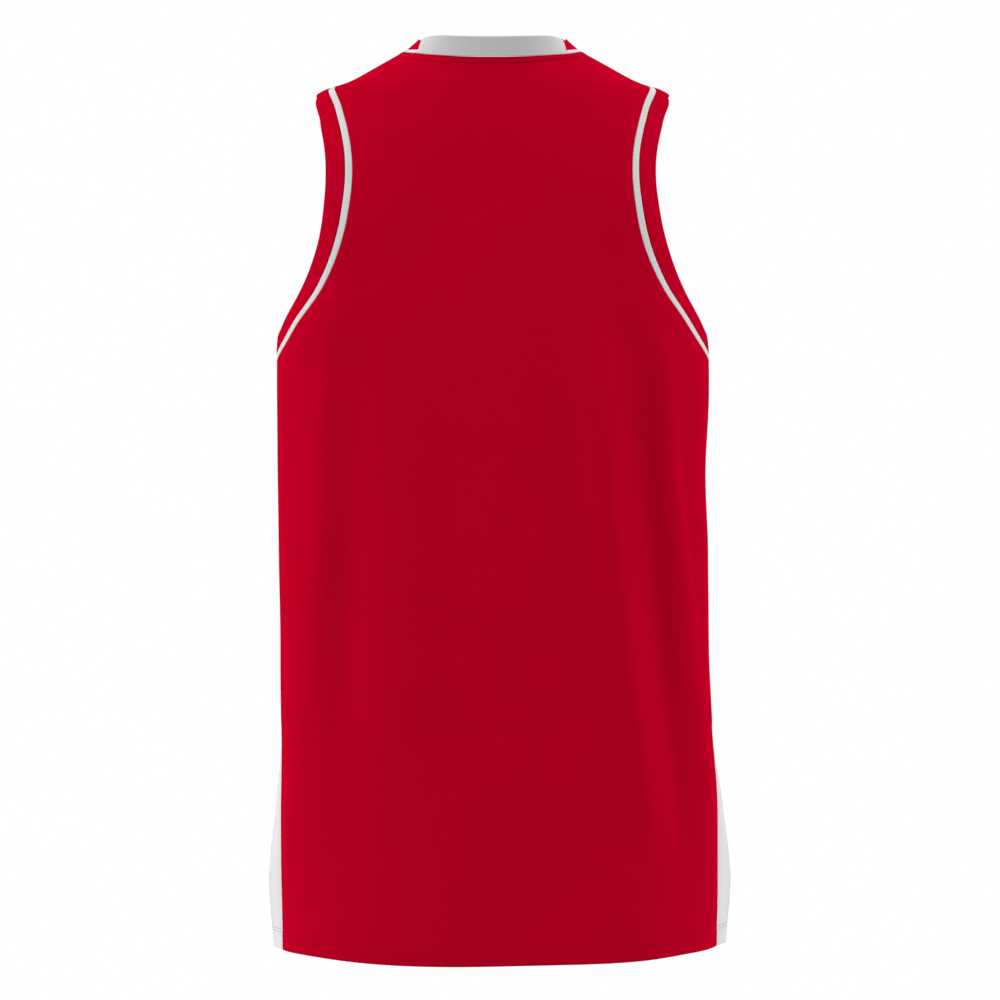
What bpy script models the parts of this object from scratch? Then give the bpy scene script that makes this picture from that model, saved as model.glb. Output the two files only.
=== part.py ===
"""Sleeveless basketball jersey, filled out as worn, with nobody in it.

Metres, +Z up, +X the wearer's left and +Y the back. The origin lies midway between the two high
shoulder points of the neck seam, where the wearer holds the garment up.

The cloth lies on a filled form made of level sections. A place on the form is an angle round the
body (0 at centre back, 90 at the wearer's left, 180 at centre front) and a height. Every panel is
a patch of the form between its seams, and the folds move the whole surface in and out.
"""

import bpy
import numpy as np

# Cloth
CLOTH_WALL = 0.0014
HEM_WALL = 0.0022
TRIM_WALL = 0.0016
SEAM_GAP = 0.0003

# Level sections of the form, top to bottom: half breadths to the left and right, half depths to the
# back and front, how square the sides and the back are, and how far the side panels stand out.
SECTION_COLUMNS = ("height", "left", "right", "back", "front", "side_flat", "back_flat", "stand")
SECTIONS = (
    (0.0300, 0.0300, 0.0300, 0.0540, 0.0500, 0.00, 0.00, 0.0),
    (0.0120, 0.0560, 0.0560, 0.0600, 0.0560, 0.00, 0.00, 0.0),
    (0.0000, 0.0742, 0.0742, 0.0650, 0.0620, 0.00, 0.00, 0.0),
    (-0.0013, 0.0759, 0.0759, 0.0655, 0.0626, 0.00, 0.00, 0.0),
    (-0.0053, 0.0830, 0.0830, 0.0670, 0.0645, 0.00, 0.00, 0.0),
    (-0.0097, 0.0910, 0.0910, 0.0690, 0.0665, 0.00, 0.00, 0.0),
    (-0.0170, 0.1042, 0.1042, 0.0725, 0.0705, 0.00, 0.00, 0.0),
    (-0.0239, 0.1167, 0.1167, 0.0760, 0.0750, 0.00, 0.00, 0.0),
    (-0.0290, 0.1282, 0.1282, 0.0785, 0.0780, 0.00, 0.00, 0.0),
    (-0.0340, 0.1434, 0.1434, 0.0810, 0.0810, 0.00, 0.00, 0.0),
    (-0.0370, 0.1485, 0.1485, 0.0822, 0.0824, 0.00, 0.00, 0.0),
    (-0.0420, 0.1525, 0.1525, 0.0842, 0.0846, 0.01, 0.01, 0.0),
    (-0.0500, 0.1560, 0.1560, 0.0870, 0.0880, 0.02, 0.03, 0.0),
    (-0.0800, 0.1605, 0.1605, 0.0980, 0.0980, 0.10, 0.12, 0.0),
    (-0.1200, 0.1635, 0.1635, 0.1085, 0.1080, 0.18, 0.22, 0.0),
    (-0.1600, 0.1665, 0.1665, 0.1160, 0.1140, 0.22, 0.28, 0.0),
    (-0.2050, 0.1720, 0.1720, 0.1200, 0.1185, 0.26, 0.30, 0.0),
    (-0.2335, 0.1785, 0.1785, 0.1215, 0.1200, 0.30, 0.32, 0.0),
    (-0.2600, 0.1808, 0.1812, 0.1220, 0.1205, 0.34, 0.33, -0.0012),
    (-0.2900, 0.1806, 0.1814, 0.1220, 0.1205, 0.36, 0.34, -0.0014),
    (-0.3550, 0.1798, 0.1790, 0.1210, 0.1190, 0.36, 0.34, -0.0014),
    (-0.4200, 0.1792, 0.1811, 0.1200, 0.1170, 0.36, 0.34, -0.0012),
    (-0.5000, 0.1778, 0.1814, 0.1185, 0.1155, 0.36, 0.34, -0.0010),
    (-0.5600, 0.1768, 0.1841, 0.1185, 0.1155, 0.35, 0.33, -0.0010),
    (-0.6300, 0.1756, 0.1873, 0.1205, 0.1170, 0.34, 0.32, 0.0058),
    (-0.6900, 0.1746, 0.1865, 0.1235, 0.1190, 0.34, 0.32, 0.0125),
    (-0.7460, 0.1750, 0.1870, 0.1265, 0.1215, 0.34, 0.32, 0.0084),
    (-0.8000, 0.1750, 0.1870, 0.1285, 0.1230, 0.34, 0.32, 0.0060),
)
STAND_REACH = 30.0  # degrees each side of the flank that the standing out spans

# Neck seam: half breadth, drops below the high shoulder points, how each curve bends from its side
# and how broad its bottom is
NECK_HALF = 0.0740
NECK_BACK_DROP = 0.0139
NECK_BACK_BEND = 0.43
NECK_BACK_FULL = -0.63
NECK_FRONT_DROP = 0.1180
NECK_FRONT_BEND = 2.0
NECK_FRONT_FULL = 0.8

# Neck trim: its height, the piping's share, and how far it leans out from the form at centre back
# and at the shoulders
NECK_TRIM = 0.0163
NECK_PIPING = 0.0038
NECK_LEAN = 44.0
NECK_SIDE_LEAN = 1.0
NECK_LEAN_BEND = 1.5
INSERT_END_LOW = 56.0  # degrees round the neck where the insert's slanted end meets the seam
INSERT_END_TOP = 67.0  # and where it meets the free edge
INSERT_GAP = 0.0045  # half the gap at those ends, as a turn in radians
INSERT_NEAREST = 0.05

# Shoulder and side seams, as angles round the body
SHOULDER_SEAM = 96.0
SIDE_SEAM_COLUMNS = ("height", "back", "front")
SIDE_SEAMS = (
    (-0.2200, 74.5, 106.5),
    (-0.4000, 74.0, 107.0),
    (-0.5600, 73.0, 108.0),
    (-0.6300, 71.5, 109.0),
    (-0.6900, 70.0, 110.0),
    (-0.7500, 69.0, 111.0),
)
SIDE_UPPER_LEVEL = -0.4013  # seams between the three sections of the side panel
SIDE_LOWER_LEVEL = -0.5610

# Seam between body and armhole trim, from the shoulder down the back, round under the arm and up the front
ARMHOLE_COLUMNS = ("angle", "height")
ARMHOLE = (
    (90.0, -0.0300),
    (69.0, -0.0322),
    (60.2, -0.0378),
    (54.5, -0.0455),
    (49.4, -0.0590),
    (42.3, -0.0870),
    (39.2, -0.1143),
    (38.9, -0.1430),
    (41.4, -0.1804),
    (47.9, -0.2155),
    (61.5, -0.2495),
    (90.0, -0.2640),
    (119.0, -0.2520),
    (133.0, -0.2180),
    (139.5, -0.1820),
    (142.0, -0.1430),
    (140.5, -0.1120),
    (136.5, -0.0850),
    (130.0, -0.0600),
    (125.5, -0.0465),
    (119.8, -0.0380),
    (111.0, -0.0325),
)
ARM_PIPING = 0.0059
ARM_BAND = 0.0173
ARM_BAND_AT_SHOULDER = 0.0137
ARM_BAND_GROWS = 0.04  # share of the loop over which the band reaches its full width

# Hem: level at the side seams, with the drop at centre back and front, the tilt and the vent corners
HEM_LEVEL = -0.7434
HEM_MIDDLE_DROP = 0.0058
HEM_TILT = 0.0017
VENT_CORNER_DROP = 0.0042
VENT_TOP = -0.6908
VENT_GAP = 0.0050
VENT_REACH = 22.0

# Folds of the cloth. Angles at the top and low ends, how late the fold turns from one to the other,
# heights of its ends, how far it stands out (less than 0 for a trough) and its half width in degrees.
FOLD_COLUMNS = ("top_angle", "low_angle", "turn", "top", "low", "out", "wide")
FOLDS = (
    (-30.5, -52.0, 1.9, -0.190, -0.725, -0.0050, 6.0),
    (-39.0, -64.0, 1.7, -0.200, -0.715, 0.0034, 6.5),
    (28.0, 34.5, 1.2, -0.215, -0.640, -0.0030, 6.5),
    (37.5, 50.0, 1.5, -0.240, -0.620, 0.0020, 6.5),
    (-4.0, -8.0, 1.0, -0.520, -0.860, -0.0022, 13.0),
    (146.0, 134.0, 1.6, -0.240, -0.730, -0.0046, 6.5),
    (155.0, 147.0, 1.4, -0.260, -0.700, 0.0024, 7.0),
    (-150.0, -143.0, 1.3, -0.230, -0.660, -0.0034, 6.5),
    (-141.0, -129.0, 1.6, -0.260, -0.690, 0.0026, 6.5),
    (176.0, 171.0, 1.0, -0.480, -0.830, -0.0020, 12.0),
)

# How finely each piece is divided
BACK_CELLS = {"across": 38, "shoulder": 7, "armhole": 19, "seam": 18}
FRONT_CELLS = {"across": 32, "shoulder": 7, "armhole": 17, "seam": 14}
SIDE_CELLS = (8, 7, 8, 9)  # across, and down each of the three sections
LOOP_POINTS = 480
MOVE_STEPS = 8
EVEN_REACH = 10  # points each side over which a line's direction is evened out before it moves
TINY = 1e-4
TOP_SHARES = (0.9, 1.03)  # shares of the armhole seam between which each other seam meets it
SEAM_SHARES = {"back": (0.3, 0.52), "front": (0.5, 0.7)}
ARMHOLE_CLOSER = 1.25  # over 1 puts the armhole's points closer together at the shoulder
RELAX_PASSES = 400  # how often a body panel's inner points are moved
RELAX_STEP = 0.8

RED = (0.46, 0.001, 0.022)
WHITE = (0.78, 0.78, 0.78)
OFF_WHITE = (0.58, 0.58, 0.585)
KNIT_ROUGHNESS = 0.85


def smooth_through(at, knots, values):
    """Curve through values at rising knots, with no overshoot, carried on straight past both ends."""
    step = np.diff(knots)
    rise = np.diff(values) / step
    slope = np.concatenate([rise[:1], np.zeros(len(step) - 1), rise[-1:]])
    for i in range(1, len(step)):
        if rise[i - 1] * rise[i] > 0:
            before = 2 * step[i] + step[i - 1]
            after = step[i] + 2 * step[i - 1]
            slope[i] = (before + after) / (before / rise[i - 1] + after / rise[i])
    inside = np.clip(at, knots[0], knots[-1])
    cell = np.clip(np.searchsorted(knots, inside, side="right") - 1, 0, len(step) - 1)
    t = (inside - knots[cell]) / step[cell]
    start = values[cell] * (1 + 2 * t) * (1 - t) ** 2
    end = values[cell + 1] * t * t * (3 - 2 * t)
    bend = step[cell] * t * (1 - t) * (slope[cell] * (1 - t) - slope[cell + 1] * t)
    past = np.where(at < knots[0], slope[0], slope[-1]) * (at - inside)
    return start + end + bend + past


def looked_up(rows, columns, name, height):
    """One column of a table whose rows go down the body, at any height."""
    table = np.array(rows)[::-1]
    return smooth_through(height, table[:, 0], table[:, columns.index(name)])


def section(name, height):
    return looked_up(SECTIONS, SECTION_COLUMNS, name, height)


def form(place):
    """Points of the bare form at places, each an angle in radians and a height."""
    angle = place[..., 0]
    height = place[..., 1]
    across = np.sin(angle)
    along = np.cos(angle)
    breadth = np.where(across > 0, section("left", height), section("right", height))
    depth = np.where(along > 0, section("back", height), section("front", height))
    from_flank = np.degrees(np.arccos(np.clip(np.abs(across), 0, 1)))
    near_flank = np.cos(np.clip(from_flank / STAND_REACH, 0, 1) * np.pi / 2) ** 2
    x = breadth * across * (1 + section("side_flat", height) * along**2)
    x += np.sign(across) * section("stand", height) * near_flank
    y = depth * along * (1 + section("back_flat", height) * across**2)
    return np.stack([x, y, height], axis=-1)


def unit(vectors):
    return vectors / np.linalg.norm(vectors, axis=-1, keepdims=True)


def directions(place):
    """How the form's point moves for a unit of angle and for a unit of height."""
    turn = np.array([TINY, 0.0])
    rise = np.array([0.0, TINY])
    round_body = (form(place + turn) - form(place - turn)) / (2 * TINY)
    up_body = (form(place + rise) - form(place - rise)) / (2 * TINY)
    return round_body, up_body


def outward(place):
    round_body, up_body = directions(place)
    return unit(np.cross(up_body, round_body))


def fold_height(place):
    """How far the folds move the cloth out from the form."""
    angle = (np.degrees(place[..., 0]) + 180) % 360 - 180
    height = place[..., 1]
    out = np.zeros(angle.shape)
    for row in FOLDS:
        fold = dict(zip(FOLD_COLUMNS, row))
        down = np.clip((fold["top"] - height) / (fold["top"] - fold["low"]), 0, 1)
        line = fold["top_angle"] + (fold["low_angle"] - fold["top_angle"]) * down ** fold["turn"]
        aside = (angle - line + 180) % 360 - 180
        out += fold["out"] * np.exp(-((aside / fold["wide"]) ** 2)) * np.sin(np.pi * down) ** 1.5
    return out


def cloth(place):
    """Points of the cloth's outer face."""
    return form(place) + outward(place) * fold_height(place)[..., None]


def moved_on_form(place, shift):
    """Places after their points move by short vectors that lie in the form."""
    round_body, up_body = directions(place)
    aa = (round_body * round_body).sum(-1)
    bb = (up_body * up_body).sum(-1)
    ab = (round_body * up_body).sum(-1)
    a = (round_body * shift).sum(-1)
    b = (up_body * shift).sum(-1)
    spread = aa * bb - ab * ab
    change = np.stack([(a * bb - b * ab) / spread, (b * aa - a * ab) / spread], axis=-1)
    return place + change


def evened(vectors):
    """Directions along a closed line, each averaged with its neighbours."""
    steps = np.arange(-3 * EVEN_REACH, 3 * EVEN_REACH + 1)
    weights = np.exp(-((steps / EVEN_REACH) ** 2))
    return unit(sum(weight * np.roll(vectors, -step, axis=0) for step, weight in zip(steps, weights)))


def loop_moved(loop, distance, side):
    """A closed line moved over the form towards the arm by a distance, which may vary along it."""
    distance = np.broadcast_to(distance, loop.shape[:1])
    for _ in range(MOVE_STEPS):
        point = form(loop)
        tangent = unit(np.roll(point, -1, axis=0) - np.roll(point, 1, axis=0))
        towards_arm = evened(side * np.cross(tangent, outward(loop)))
        loop = moved_on_form(loop, towards_arm * (distance / MOVE_STEPS)[:, None])
    return loop


def loop_at(loop, share):
    """Places at shares of the way round a closed line. Shares may be under 0 or over 1."""
    own = np.arange(len(loop)) / len(loop)
    columns = [np.interp(share, own, loop[:, k], period=1) for k in (0, 1)]
    return np.stack(columns, axis=-1)


def armhole_seam(side):
    """The seam between body and armhole trim as a smooth closed line, from the shoulder point backwards."""
    knots = np.array(ARMHOLE)
    knots[:, 0] = np.radians(knots[:, 0]) * side
    point = form(knots)
    chord = np.linalg.norm(np.roll(point, -1, axis=0) - point, axis=1)
    before = np.roll(chord, 1)
    step_on = (np.roll(knots, -1, axis=0) - knots) / chord[:, None]
    step_back = np.roll(step_on, 1, axis=0)
    slope = (step_on * before[:, None] + step_back * chord[:, None]) / (chord + before)[:, None]
    start = np.concatenate([[0.0], np.cumsum(chord)])
    way = np.arange(LOOP_POINTS) / LOOP_POINTS * start[-1]
    cell = np.searchsorted(start, way, side="right") - 1
    after = (cell + 1) % len(knots)
    length = chord[cell][:, None]
    t = ((way - start[cell]) / chord[cell])[:, None]
    line = knots[cell] * (1 + 2 * t) * (1 - t) ** 2 + knots[after] * t * t * (3 - 2 * t)
    return line + length * t * (1 - t) * (slope[cell] * (1 - t) - slope[after] * t)


def side_seam(name, height):
    return np.radians(looked_up(SIDE_SEAMS, SIDE_SEAM_COLUMNS, name, height))


def turn_for(place, distance):
    """The angle that moves a point of the form sideways by a distance."""
    return distance / np.linalg.norm(directions(place)[0], axis=-1)


def share_where(loop, wanted, shares):
    """The share of a closed line, within a rising pair of shares, where a measure changes sign."""
    tried = np.linspace(*shares, 400)
    measure = wanted(loop_at(loop, tried))
    change = np.nonzero(np.sign(measure[:-1]) != np.sign(measure[1:]))[0][0]
    part = measure[change] / (measure[change] - measure[change + 1])
    return tried[change] + part * (tried[change + 1] - tried[change])


def hem_height(angle):
    """Height of the hem's edge at an angle round the body."""
    from_flank = np.degrees(np.arccos(np.clip(np.abs(np.sin(angle)), 0, 1)))
    corner = np.cos(np.clip(from_flank / VENT_REACH, 0, 1) * np.pi / 2) ** 2
    middle = HEM_MIDDLE_DROP * np.cos(angle) ** 4
    return HEM_LEVEL - HEM_TILT * np.sin(angle) - middle - VENT_CORNER_DROP * corner


def neck_place(turn):
    """Place of the neck seam. The turn goes round the neck from centre back, 90 degrees at a shoulder."""
    drop = np.where(np.cos(turn) > 0, NECK_BACK_DROP, NECK_FRONT_DROP)
    bend = np.where(np.cos(turn) > 0, NECK_BACK_BEND, NECK_FRONT_BEND)
    full = np.where(np.cos(turn) > 0, NECK_BACK_FULL, NECK_FRONT_FULL)
    from_side = np.abs(np.cos(turn))
    height = -drop * from_side**bend * (1 + full - full * from_side)
    x = NECK_HALF * np.sin(turn)
    breadth = np.where(x > 0, section("left", height), section("right", height))
    flat = section("side_flat", height)
    ratio = np.clip(np.abs(x) / breadth, 0, 1)
    sine = ratio.copy()
    for _ in range(30):
        sine = np.clip(sine - ((1 + flat) * sine - flat * sine**3 - ratio) / (1 + flat), 0, 1)
    angle = np.arcsin(sine)
    angle = np.where(np.cos(turn) > 0, angle, np.pi - angle) * np.where(x < 0, -1, 1)
    return np.stack([angle, height], axis=-1)


def evenly(places, count):
    """As many places as asked, at equal distances along a line of places."""
    gone = np.linalg.norm(np.diff(form(places), axis=0), axis=1)
    way = np.concatenate([[0.0], np.cumsum(gone)])
    wanted = np.linspace(0, way[-1], count)
    return np.stack([np.interp(wanted, way, places[:, k]) for k in (0, 1)], axis=-1)


def joined(*lines):
    """Lines of places put end to end, each leaving out the place that it shares with the one before."""
    return np.concatenate([lines[0]] + [line[1:] for line in lines[1:]])


def patch(top, bottom, left, right):
    """Places that fill the area between four lines, row by row from the top."""
    u = np.linspace(0, 1, len(top))[None, :, None]
    v = np.linspace(0, 1, len(left))[:, None, None]
    between = (1 - v) * top[None] + v * bottom[None] + (1 - u) * left[:, None] + u * right[:, None]
    corners = (1 - v) * ((1 - u) * top[0] + u * top[-1]) + v * ((1 - u) * bottom[0] + u * bottom[-1])
    return between - corners


def neck_loop(distance):
    """The neck seam as a closed line, moved down over the form by a distance."""
    turns = np.linspace(-np.pi, np.pi, LOOP_POINTS, endpoint=False)
    return loop_moved(neck_place(turns), distance, -1)


def neck_height(angle):
    """Height of the body panels' neck edge at an angle."""
    edge = neck_loop(SEAM_GAP / 2)
    return np.interp(angle, edge[:, 0], edge[:, 1], period=2 * np.pi)


def neck_turn(angle):
    """The turn round the neck at an angle round the body."""
    turns = np.linspace(-np.pi, np.pi, LOOP_POINTS, endpoint=False)
    loop = neck_place(turns)
    whole = np.round((angle - np.interp(angle, loop[:, 0], turns, period=2 * np.pi)) / (2 * np.pi))
    return np.interp(angle, loop[:, 0], turns, period=2 * np.pi) + 2 * np.pi * whole


def off_seam(name, side, away):
    """A measure that is 0 on the edge that a side seam gives a panel, half a gap from the seam."""

    def measure(place):
        edge = side_seam(name, place[:, 1]) * side + side * away * turn_for(place, SEAM_GAP / 2)
        return place[:, 0] - edge

    return measure


def side_edge(name, side, away, top, bottom, count):
    """Edge that a side seam gives a panel, from a height down to another, or to the hem if that is None."""
    low = HEM_LEVEL if bottom is None else bottom
    for _ in range(3):
        height = np.linspace(top, low, count)
        place = np.stack([side_seam(name, height) * side, height], axis=-1)
        angle = place[:, 0] + side * away * turn_for(place, SEAM_GAP / 2)
        if bottom is None:
            low = hem_height(angle[-1])
    return np.stack([angle, height], axis=-1)


def armhole_part(loop, name, side, away, cells):
    """Shares of the armhole line from the shoulder seam to the side seam, closer at the shoulder."""
    shoulder = np.radians(SHOULDER_SEAM) * side
    half_gap = turn_for(np.array([shoulder, ARMHOLE[0][1]]), SEAM_GAP / 2)
    edge = shoulder + side * away * half_gap
    top = share_where(loop, lambda place: place[:, 0] - edge, TOP_SHARES)
    low = share_where(loop, off_seam(name, side, away), SEAM_SHARES[name])
    if name == "back":
        top = top - 1
    return top + (low - top) * np.linspace(0, 1, cells + 1) ** ARMHOLE_CLOSER


def down_edge(side, name, cells):
    """Edge of a body panel from the neck down the shoulder, the armhole and the side seam to the hem."""
    away = -1 if name == "back" else 1
    loop = loop_moved(armhole_seam(side), -SEAM_GAP / 2, side)
    armhole = loop_at(loop, armhole_part(loop, name, side, away, cells["armhole"]))
    top = neck_height(armhole[0, 0])
    shoulder = armhole[0] + np.array([0.0, 1.0]) * np.linspace(top - armhole[0, 1], 0, 60)[:, None]
    seam = side_edge(name, side, away, armhole[-1, 1], None, 120)
    return joined(evenly(shoulder, cells["shoulder"] + 1), armhole, evenly(seam, cells["seam"] + 1))


def panel_edges(name, cells):
    """The four edges of the back or front panel: neck, hem, and the two edges down, in falling angle."""
    first = down_edge(1, name, cells)
    last = down_edge(-1, name, cells)
    if name == "front":
        first, last = last, first - np.array([2 * np.pi, 0.0])
    angle = np.linspace(first[0, 0], last[0, 0], LOOP_POINTS)
    neck = evenly(np.stack([angle, neck_height(angle)], axis=-1), cells["across"] + 1)
    angle = np.linspace(first[-1, 0], last[-1, 0], LOOP_POINTS)
    hem = evenly(np.stack([angle, hem_height(angle)], axis=-1), cells["across"] + 1)
    return neck, hem, first, last


def body_panel(name, cells):
    """Places of the back or front panel, row by row from the neck, in order of falling angle.

    The inner points are moved, pass by pass, to where rows and columns cross as squarely as they can.
    """
    places = patch(*panel_edges(name, cells))
    inner = places[1:-1, 1:-1]
    for _ in range(RELAX_PASSES):
        point = form(places)
        across = (point[1:-1, 2:] - point[1:-1, :-2]) / 2
        down = (point[2:, 1:-1] - point[:-2, 1:-1]) / 2
        mixed = (point[2:, 2:] - point[2:, :-2] - point[:-2, 2:] + point[:-2, :-2]) / 4
        row_middle = (point[1:-1, 2:] + point[1:-1, :-2]) / 2
        column_middle = (point[2:, 1:-1] + point[:-2, 1:-1]) / 2
        for_row = (down * down).sum(-1, keepdims=True)
        for_column = (across * across).sum(-1, keepdims=True)
        skew = (across * down).sum(-1, keepdims=True)
        wanted = (for_row * row_middle + for_column * column_middle - skew * mixed) / (for_row + for_column)
        inner[:] = moved_on_form(inner, RELAX_STEP * (wanted - point[1:-1, 1:-1]))
    return places


def side_places(side, top, bottom, cells):
    """Places of one section of a side panel. A top of None follows the armhole, a bottom of None the hem."""
    loop = loop_moved(armhole_seam(side), -SEAM_GAP / 2, side)
    low = None if bottom is None else bottom + SEAM_GAP / 2
    edges = []
    shares = []
    for name, away in (("front", -1), ("back", 1)):
        share = share_where(loop, off_seam(name, side, away), SEAM_SHARES[name])
        high = loop_at(loop, share)[1] if top is None else top - SEAM_GAP / 2
        edge = side_edge(name, side, away, high, low, 120)
        edges.append(evenly(edge, cells[1] + 1))
        shares.append(share)
    if side < 0:
        edges.reverse()
        shares.reverse()
    first, last = edges
    part = np.linspace(0, 1, cells[0] + 1)
    over = first[0] + (last[0] - first[0]) * part[:, None]
    under = first[-1] + (last[-1] - first[-1]) * part[:, None]
    if top is None:
        over = loop_at(loop, shares[0] + (shares[1] - shares[0]) * part)
    if bottom is None:
        under[:, 1] = hem_height(under[:, 0])
    return patch(over, under, first, last)


def ring_shares(side):
    """Shares round the armhole seam at which the panels that meet it have their points."""
    loop = armhole_seam(side)
    back = armhole_part(loop, "back", side, 0, BACK_CELLS["armhole"])
    front = armhole_part(loop, "front", side, 0, FRONT_CELLS["armhole"])[::-1]
    under = np.linspace(back[-1], front[0], SIDE_CELLS[0] + 1)
    return np.concatenate([back, under[1:], front[1:-1]])


def ring_places(side, near, far, across):
    """Places of a strip round an armhole, from one distance off the seam to another."""
    seam = armhole_seam(side)
    own = np.arange(len(seam)) / len(seam)
    from_shoulder = np.minimum(own, 1 - own) / ARM_BAND_GROWS
    far_edge = far(1 - np.exp(-(from_shoulder**2)))
    rows = []
    for part in np.linspace(0, 1, across + 1):
        line = loop_at(loop_moved(seam, near + (far_edge - near) * part, side), ring_shares(side))
        rows.append(line if side > 0 else line[::-1])
    return np.array(rows)


def neck_points(turn_and_rise):
    """Points of the neck trim, each from a turn round the neck and a distance up from the neck seam."""
    turn = turn_and_rise[..., 0]
    rise = turn_and_rise[..., 1]
    place = neck_place(turn)
    tangent = unit(form(neck_place(turn + TINY)) - form(neck_place(turn - TINY)))
    out = outward(place)
    up = np.cross(tangent, out)
    lean = NECK_LEAN * np.clip(np.cos(turn), 0, 1) ** NECK_LEAN_BEND + NECK_SIDE_LEAN * np.sin(turn) ** 2
    lean = np.radians(lean)[..., None]
    return form(place) + (up * np.cos(lean) + out * np.sin(lean)) * rise[..., None]


def insert_end(rise):
    """The turn round the neck of the insert's slanted end, at a height up the trim."""
    return np.radians(INSERT_END_LOW + (INSERT_END_TOP - INSERT_END_LOW) * rise / NECK_TRIM)


def panel_turns(name, cells):
    """Turns round the neck of the points along a body panel's neck edge, in falling order."""
    return neck_turn(panel_edges(name, cells)[0][:, 0])


def strip(turns, rise):
    return np.stack([turns, np.full(len(turns), rise)], axis=-1)


def insert_strip(rises):
    """Turns and rises of the insert at the back of the neck, between its slanted ends."""
    end = insert_end(rises[-1]) - INSERT_GAP
    turns = panel_turns("back", BACK_CELLS)
    turns = np.concatenate([[end], turns[np.abs(turns) < end - INSERT_NEAREST], [-end]])
    return np.array([strip(turns * (insert_end(rise) - INSERT_GAP) / end, rise) for rise in rises])


def front_strip(rises):
    """Turns and rises of a strip of the neck trim from one slanted end round the front to the other."""
    low_end = insert_end(rises[-1]) + INSERT_GAP
    back = panel_turns("back", BACK_CELLS)
    first = back[back < -low_end - INSERT_NEAREST]
    last = back[back > low_end + INSERT_NEAREST] - 2 * np.pi
    front = panel_turns("front", FRONT_CELLS)[1:-1]
    turns = np.concatenate([[-low_end], first, front, last, [low_end - 2 * np.pi]])
    shoulder = np.radians(SHOULDER_SEAM)
    from_shoulder = shoulder - np.abs((turns + np.pi) % (2 * np.pi) - np.pi)
    slant = np.clip(from_shoulder / (shoulder - low_end), 0, 1) * np.where(turns < -np.pi, 1, -1)
    return np.array([strip(turns + slant * (insert_end(rise) + INSERT_GAP - low_end), rise) for rise in rises])


def finish(name, colour):
    """The material of one piece of cloth."""
    material = bpy.data.materials.new(name)
    material.use_nodes = True
    shader = material.node_tree.nodes["Principled BSDF"]
    shader.inputs["Base Color"].default_value = (*colour, 1.0)
    shader.inputs["Roughness"].default_value = KNIT_ROUGHNESS
    shader.inputs["Metallic"].default_value = 0.0
    material.diffuse_color = (*colour, 1.0)
    return material


def both_faces(surface, places, wall):
    """Points of a surface at places, and the points a wall's thickness further in."""
    turn = np.array([TINY, 0.0])
    rise = np.array([0.0, TINY])
    along = surface(places + turn) - surface(places - turn)
    up = surface(places + rise) - surface(places - rise)
    outer = surface(places)
    inner = outer - unit(np.cross(up, along)) * np.reshape(wall, (-1, 1, 1))
    return np.stack([outer, inner])


def hem_walls(rows):
    """The wall at each row of a panel whose last rows are turned up into a hem."""
    walls = np.full(rows, CLOTH_WALL)
    walls[-2:] = HEM_WALL
    return walls


def cloth_piece(name, faces, colour, ring=False, slit=None):
    """A named piece of cloth from rows of points on its outer and inner face.

    The edges are split into triangles the same way on both sides of a seam, so its gap stays even.
    A slit parts two columns of cells below a row: (column, row, shift of each side's points).
    """
    rows, columns = faces.shape[1:3]
    index = np.arange(rows * columns).reshape(rows, columns)
    outer = list(faces[0].reshape(-1, 3))
    inner = list(faces[1].reshape(-1, 3))
    other = index.copy()
    if slit:
        column, first_row, shift = slit
        for row in range(first_row + 1, rows):
            other[row, column] = len(outer)
            for side, points in ((0, outer), (1, inner)):
                points.append(faces[side, row, column] - shift[row])
                points[index[row, column]] = faces[side, row, column] + shift[row]
    cells = []
    for row in range(rows - 1):
        for column in range(columns if ring else columns - 1):
            after = (column + 1) % columns
            start = other if slit and column == slit[0] else index
            cells.append((start[row, column], start[row + 1, column], index[row + 1, after], index[row, after]))
    count = len(outer)
    edges = {(cell[k], cell[(k + 1) % 4]) for cell in cells for k in range(4)}
    rims = []
    for a, b in sorted(edges):
        if (b, a) in edges:
            continue
        if outer[a][2] > outer[b][2]:
            rims += [(b, a, b + count), (a, a + count, b + count)]
        else:
            rims += [(b, a, a + count), (b, a + count, b + count)]
    lining = [tuple(corner + count for corner in reversed(cell)) for cell in cells]
    mesh = bpy.data.meshes.new(name)
    corners = [tuple(map(int, face)) for face in cells + lining + rims]
    mesh.from_pydata([tuple(map(float, point)) for point in outer + inner], [], corners)
    mesh.materials.append(finish(name, colour))
    mesh.shade_smooth()
    piece = bpy.data.objects.new(name, mesh)
    bpy.context.scene.collection.objects.link(piece)
    return piece


def clear_scene():
    for item in list(bpy.data.objects):
        bpy.data.objects.remove(item, do_unlink=True)


def build_body():
    for name, cells in (("back", BACK_CELLS), ("front", FRONT_CELLS)):
        places = body_panel(name, cells)
        cloth_piece(name + "_panel", both_faces(cloth, places, hem_walls(len(places))), RED)


def build_sides():
    across, upper, middle, lower = SIDE_CELLS
    for side, word in ((1, "left"), (-1, "right")):
        top = side_places(side, None, SIDE_UPPER_LEVEL, (across, upper))
        cloth_piece("side_top_" + word, both_faces(cloth, top, CLOTH_WALL), WHITE)
        mid = side_places(side, SIDE_UPPER_LEVEL, SIDE_LOWER_LEVEL, (across, middle))
        cloth_piece("side_middle_" + word, both_faces(cloth, mid, CLOTH_WALL), RED)
        low = side_places(side, SIDE_LOWER_LEVEL, None, (across, lower))
        centre = across // 2
        opened = np.clip((VENT_TOP - low[:, centre, 1]) / (VENT_TOP - low[-1, centre, 1]), 0, 1)
        first_row = int(np.nonzero(opened == 0)[0][-1])
        faces = both_faces(cloth, low, hem_walls(len(low)))
        sideways = unit(faces[0, :, centre - 1] - faces[0, :, centre + 1])
        shift = sideways * (opened * VENT_GAP / 2)[:, None]
        cloth_piece("side_low_" + word, faces, WHITE, slit=(centre, first_row, shift))


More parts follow.
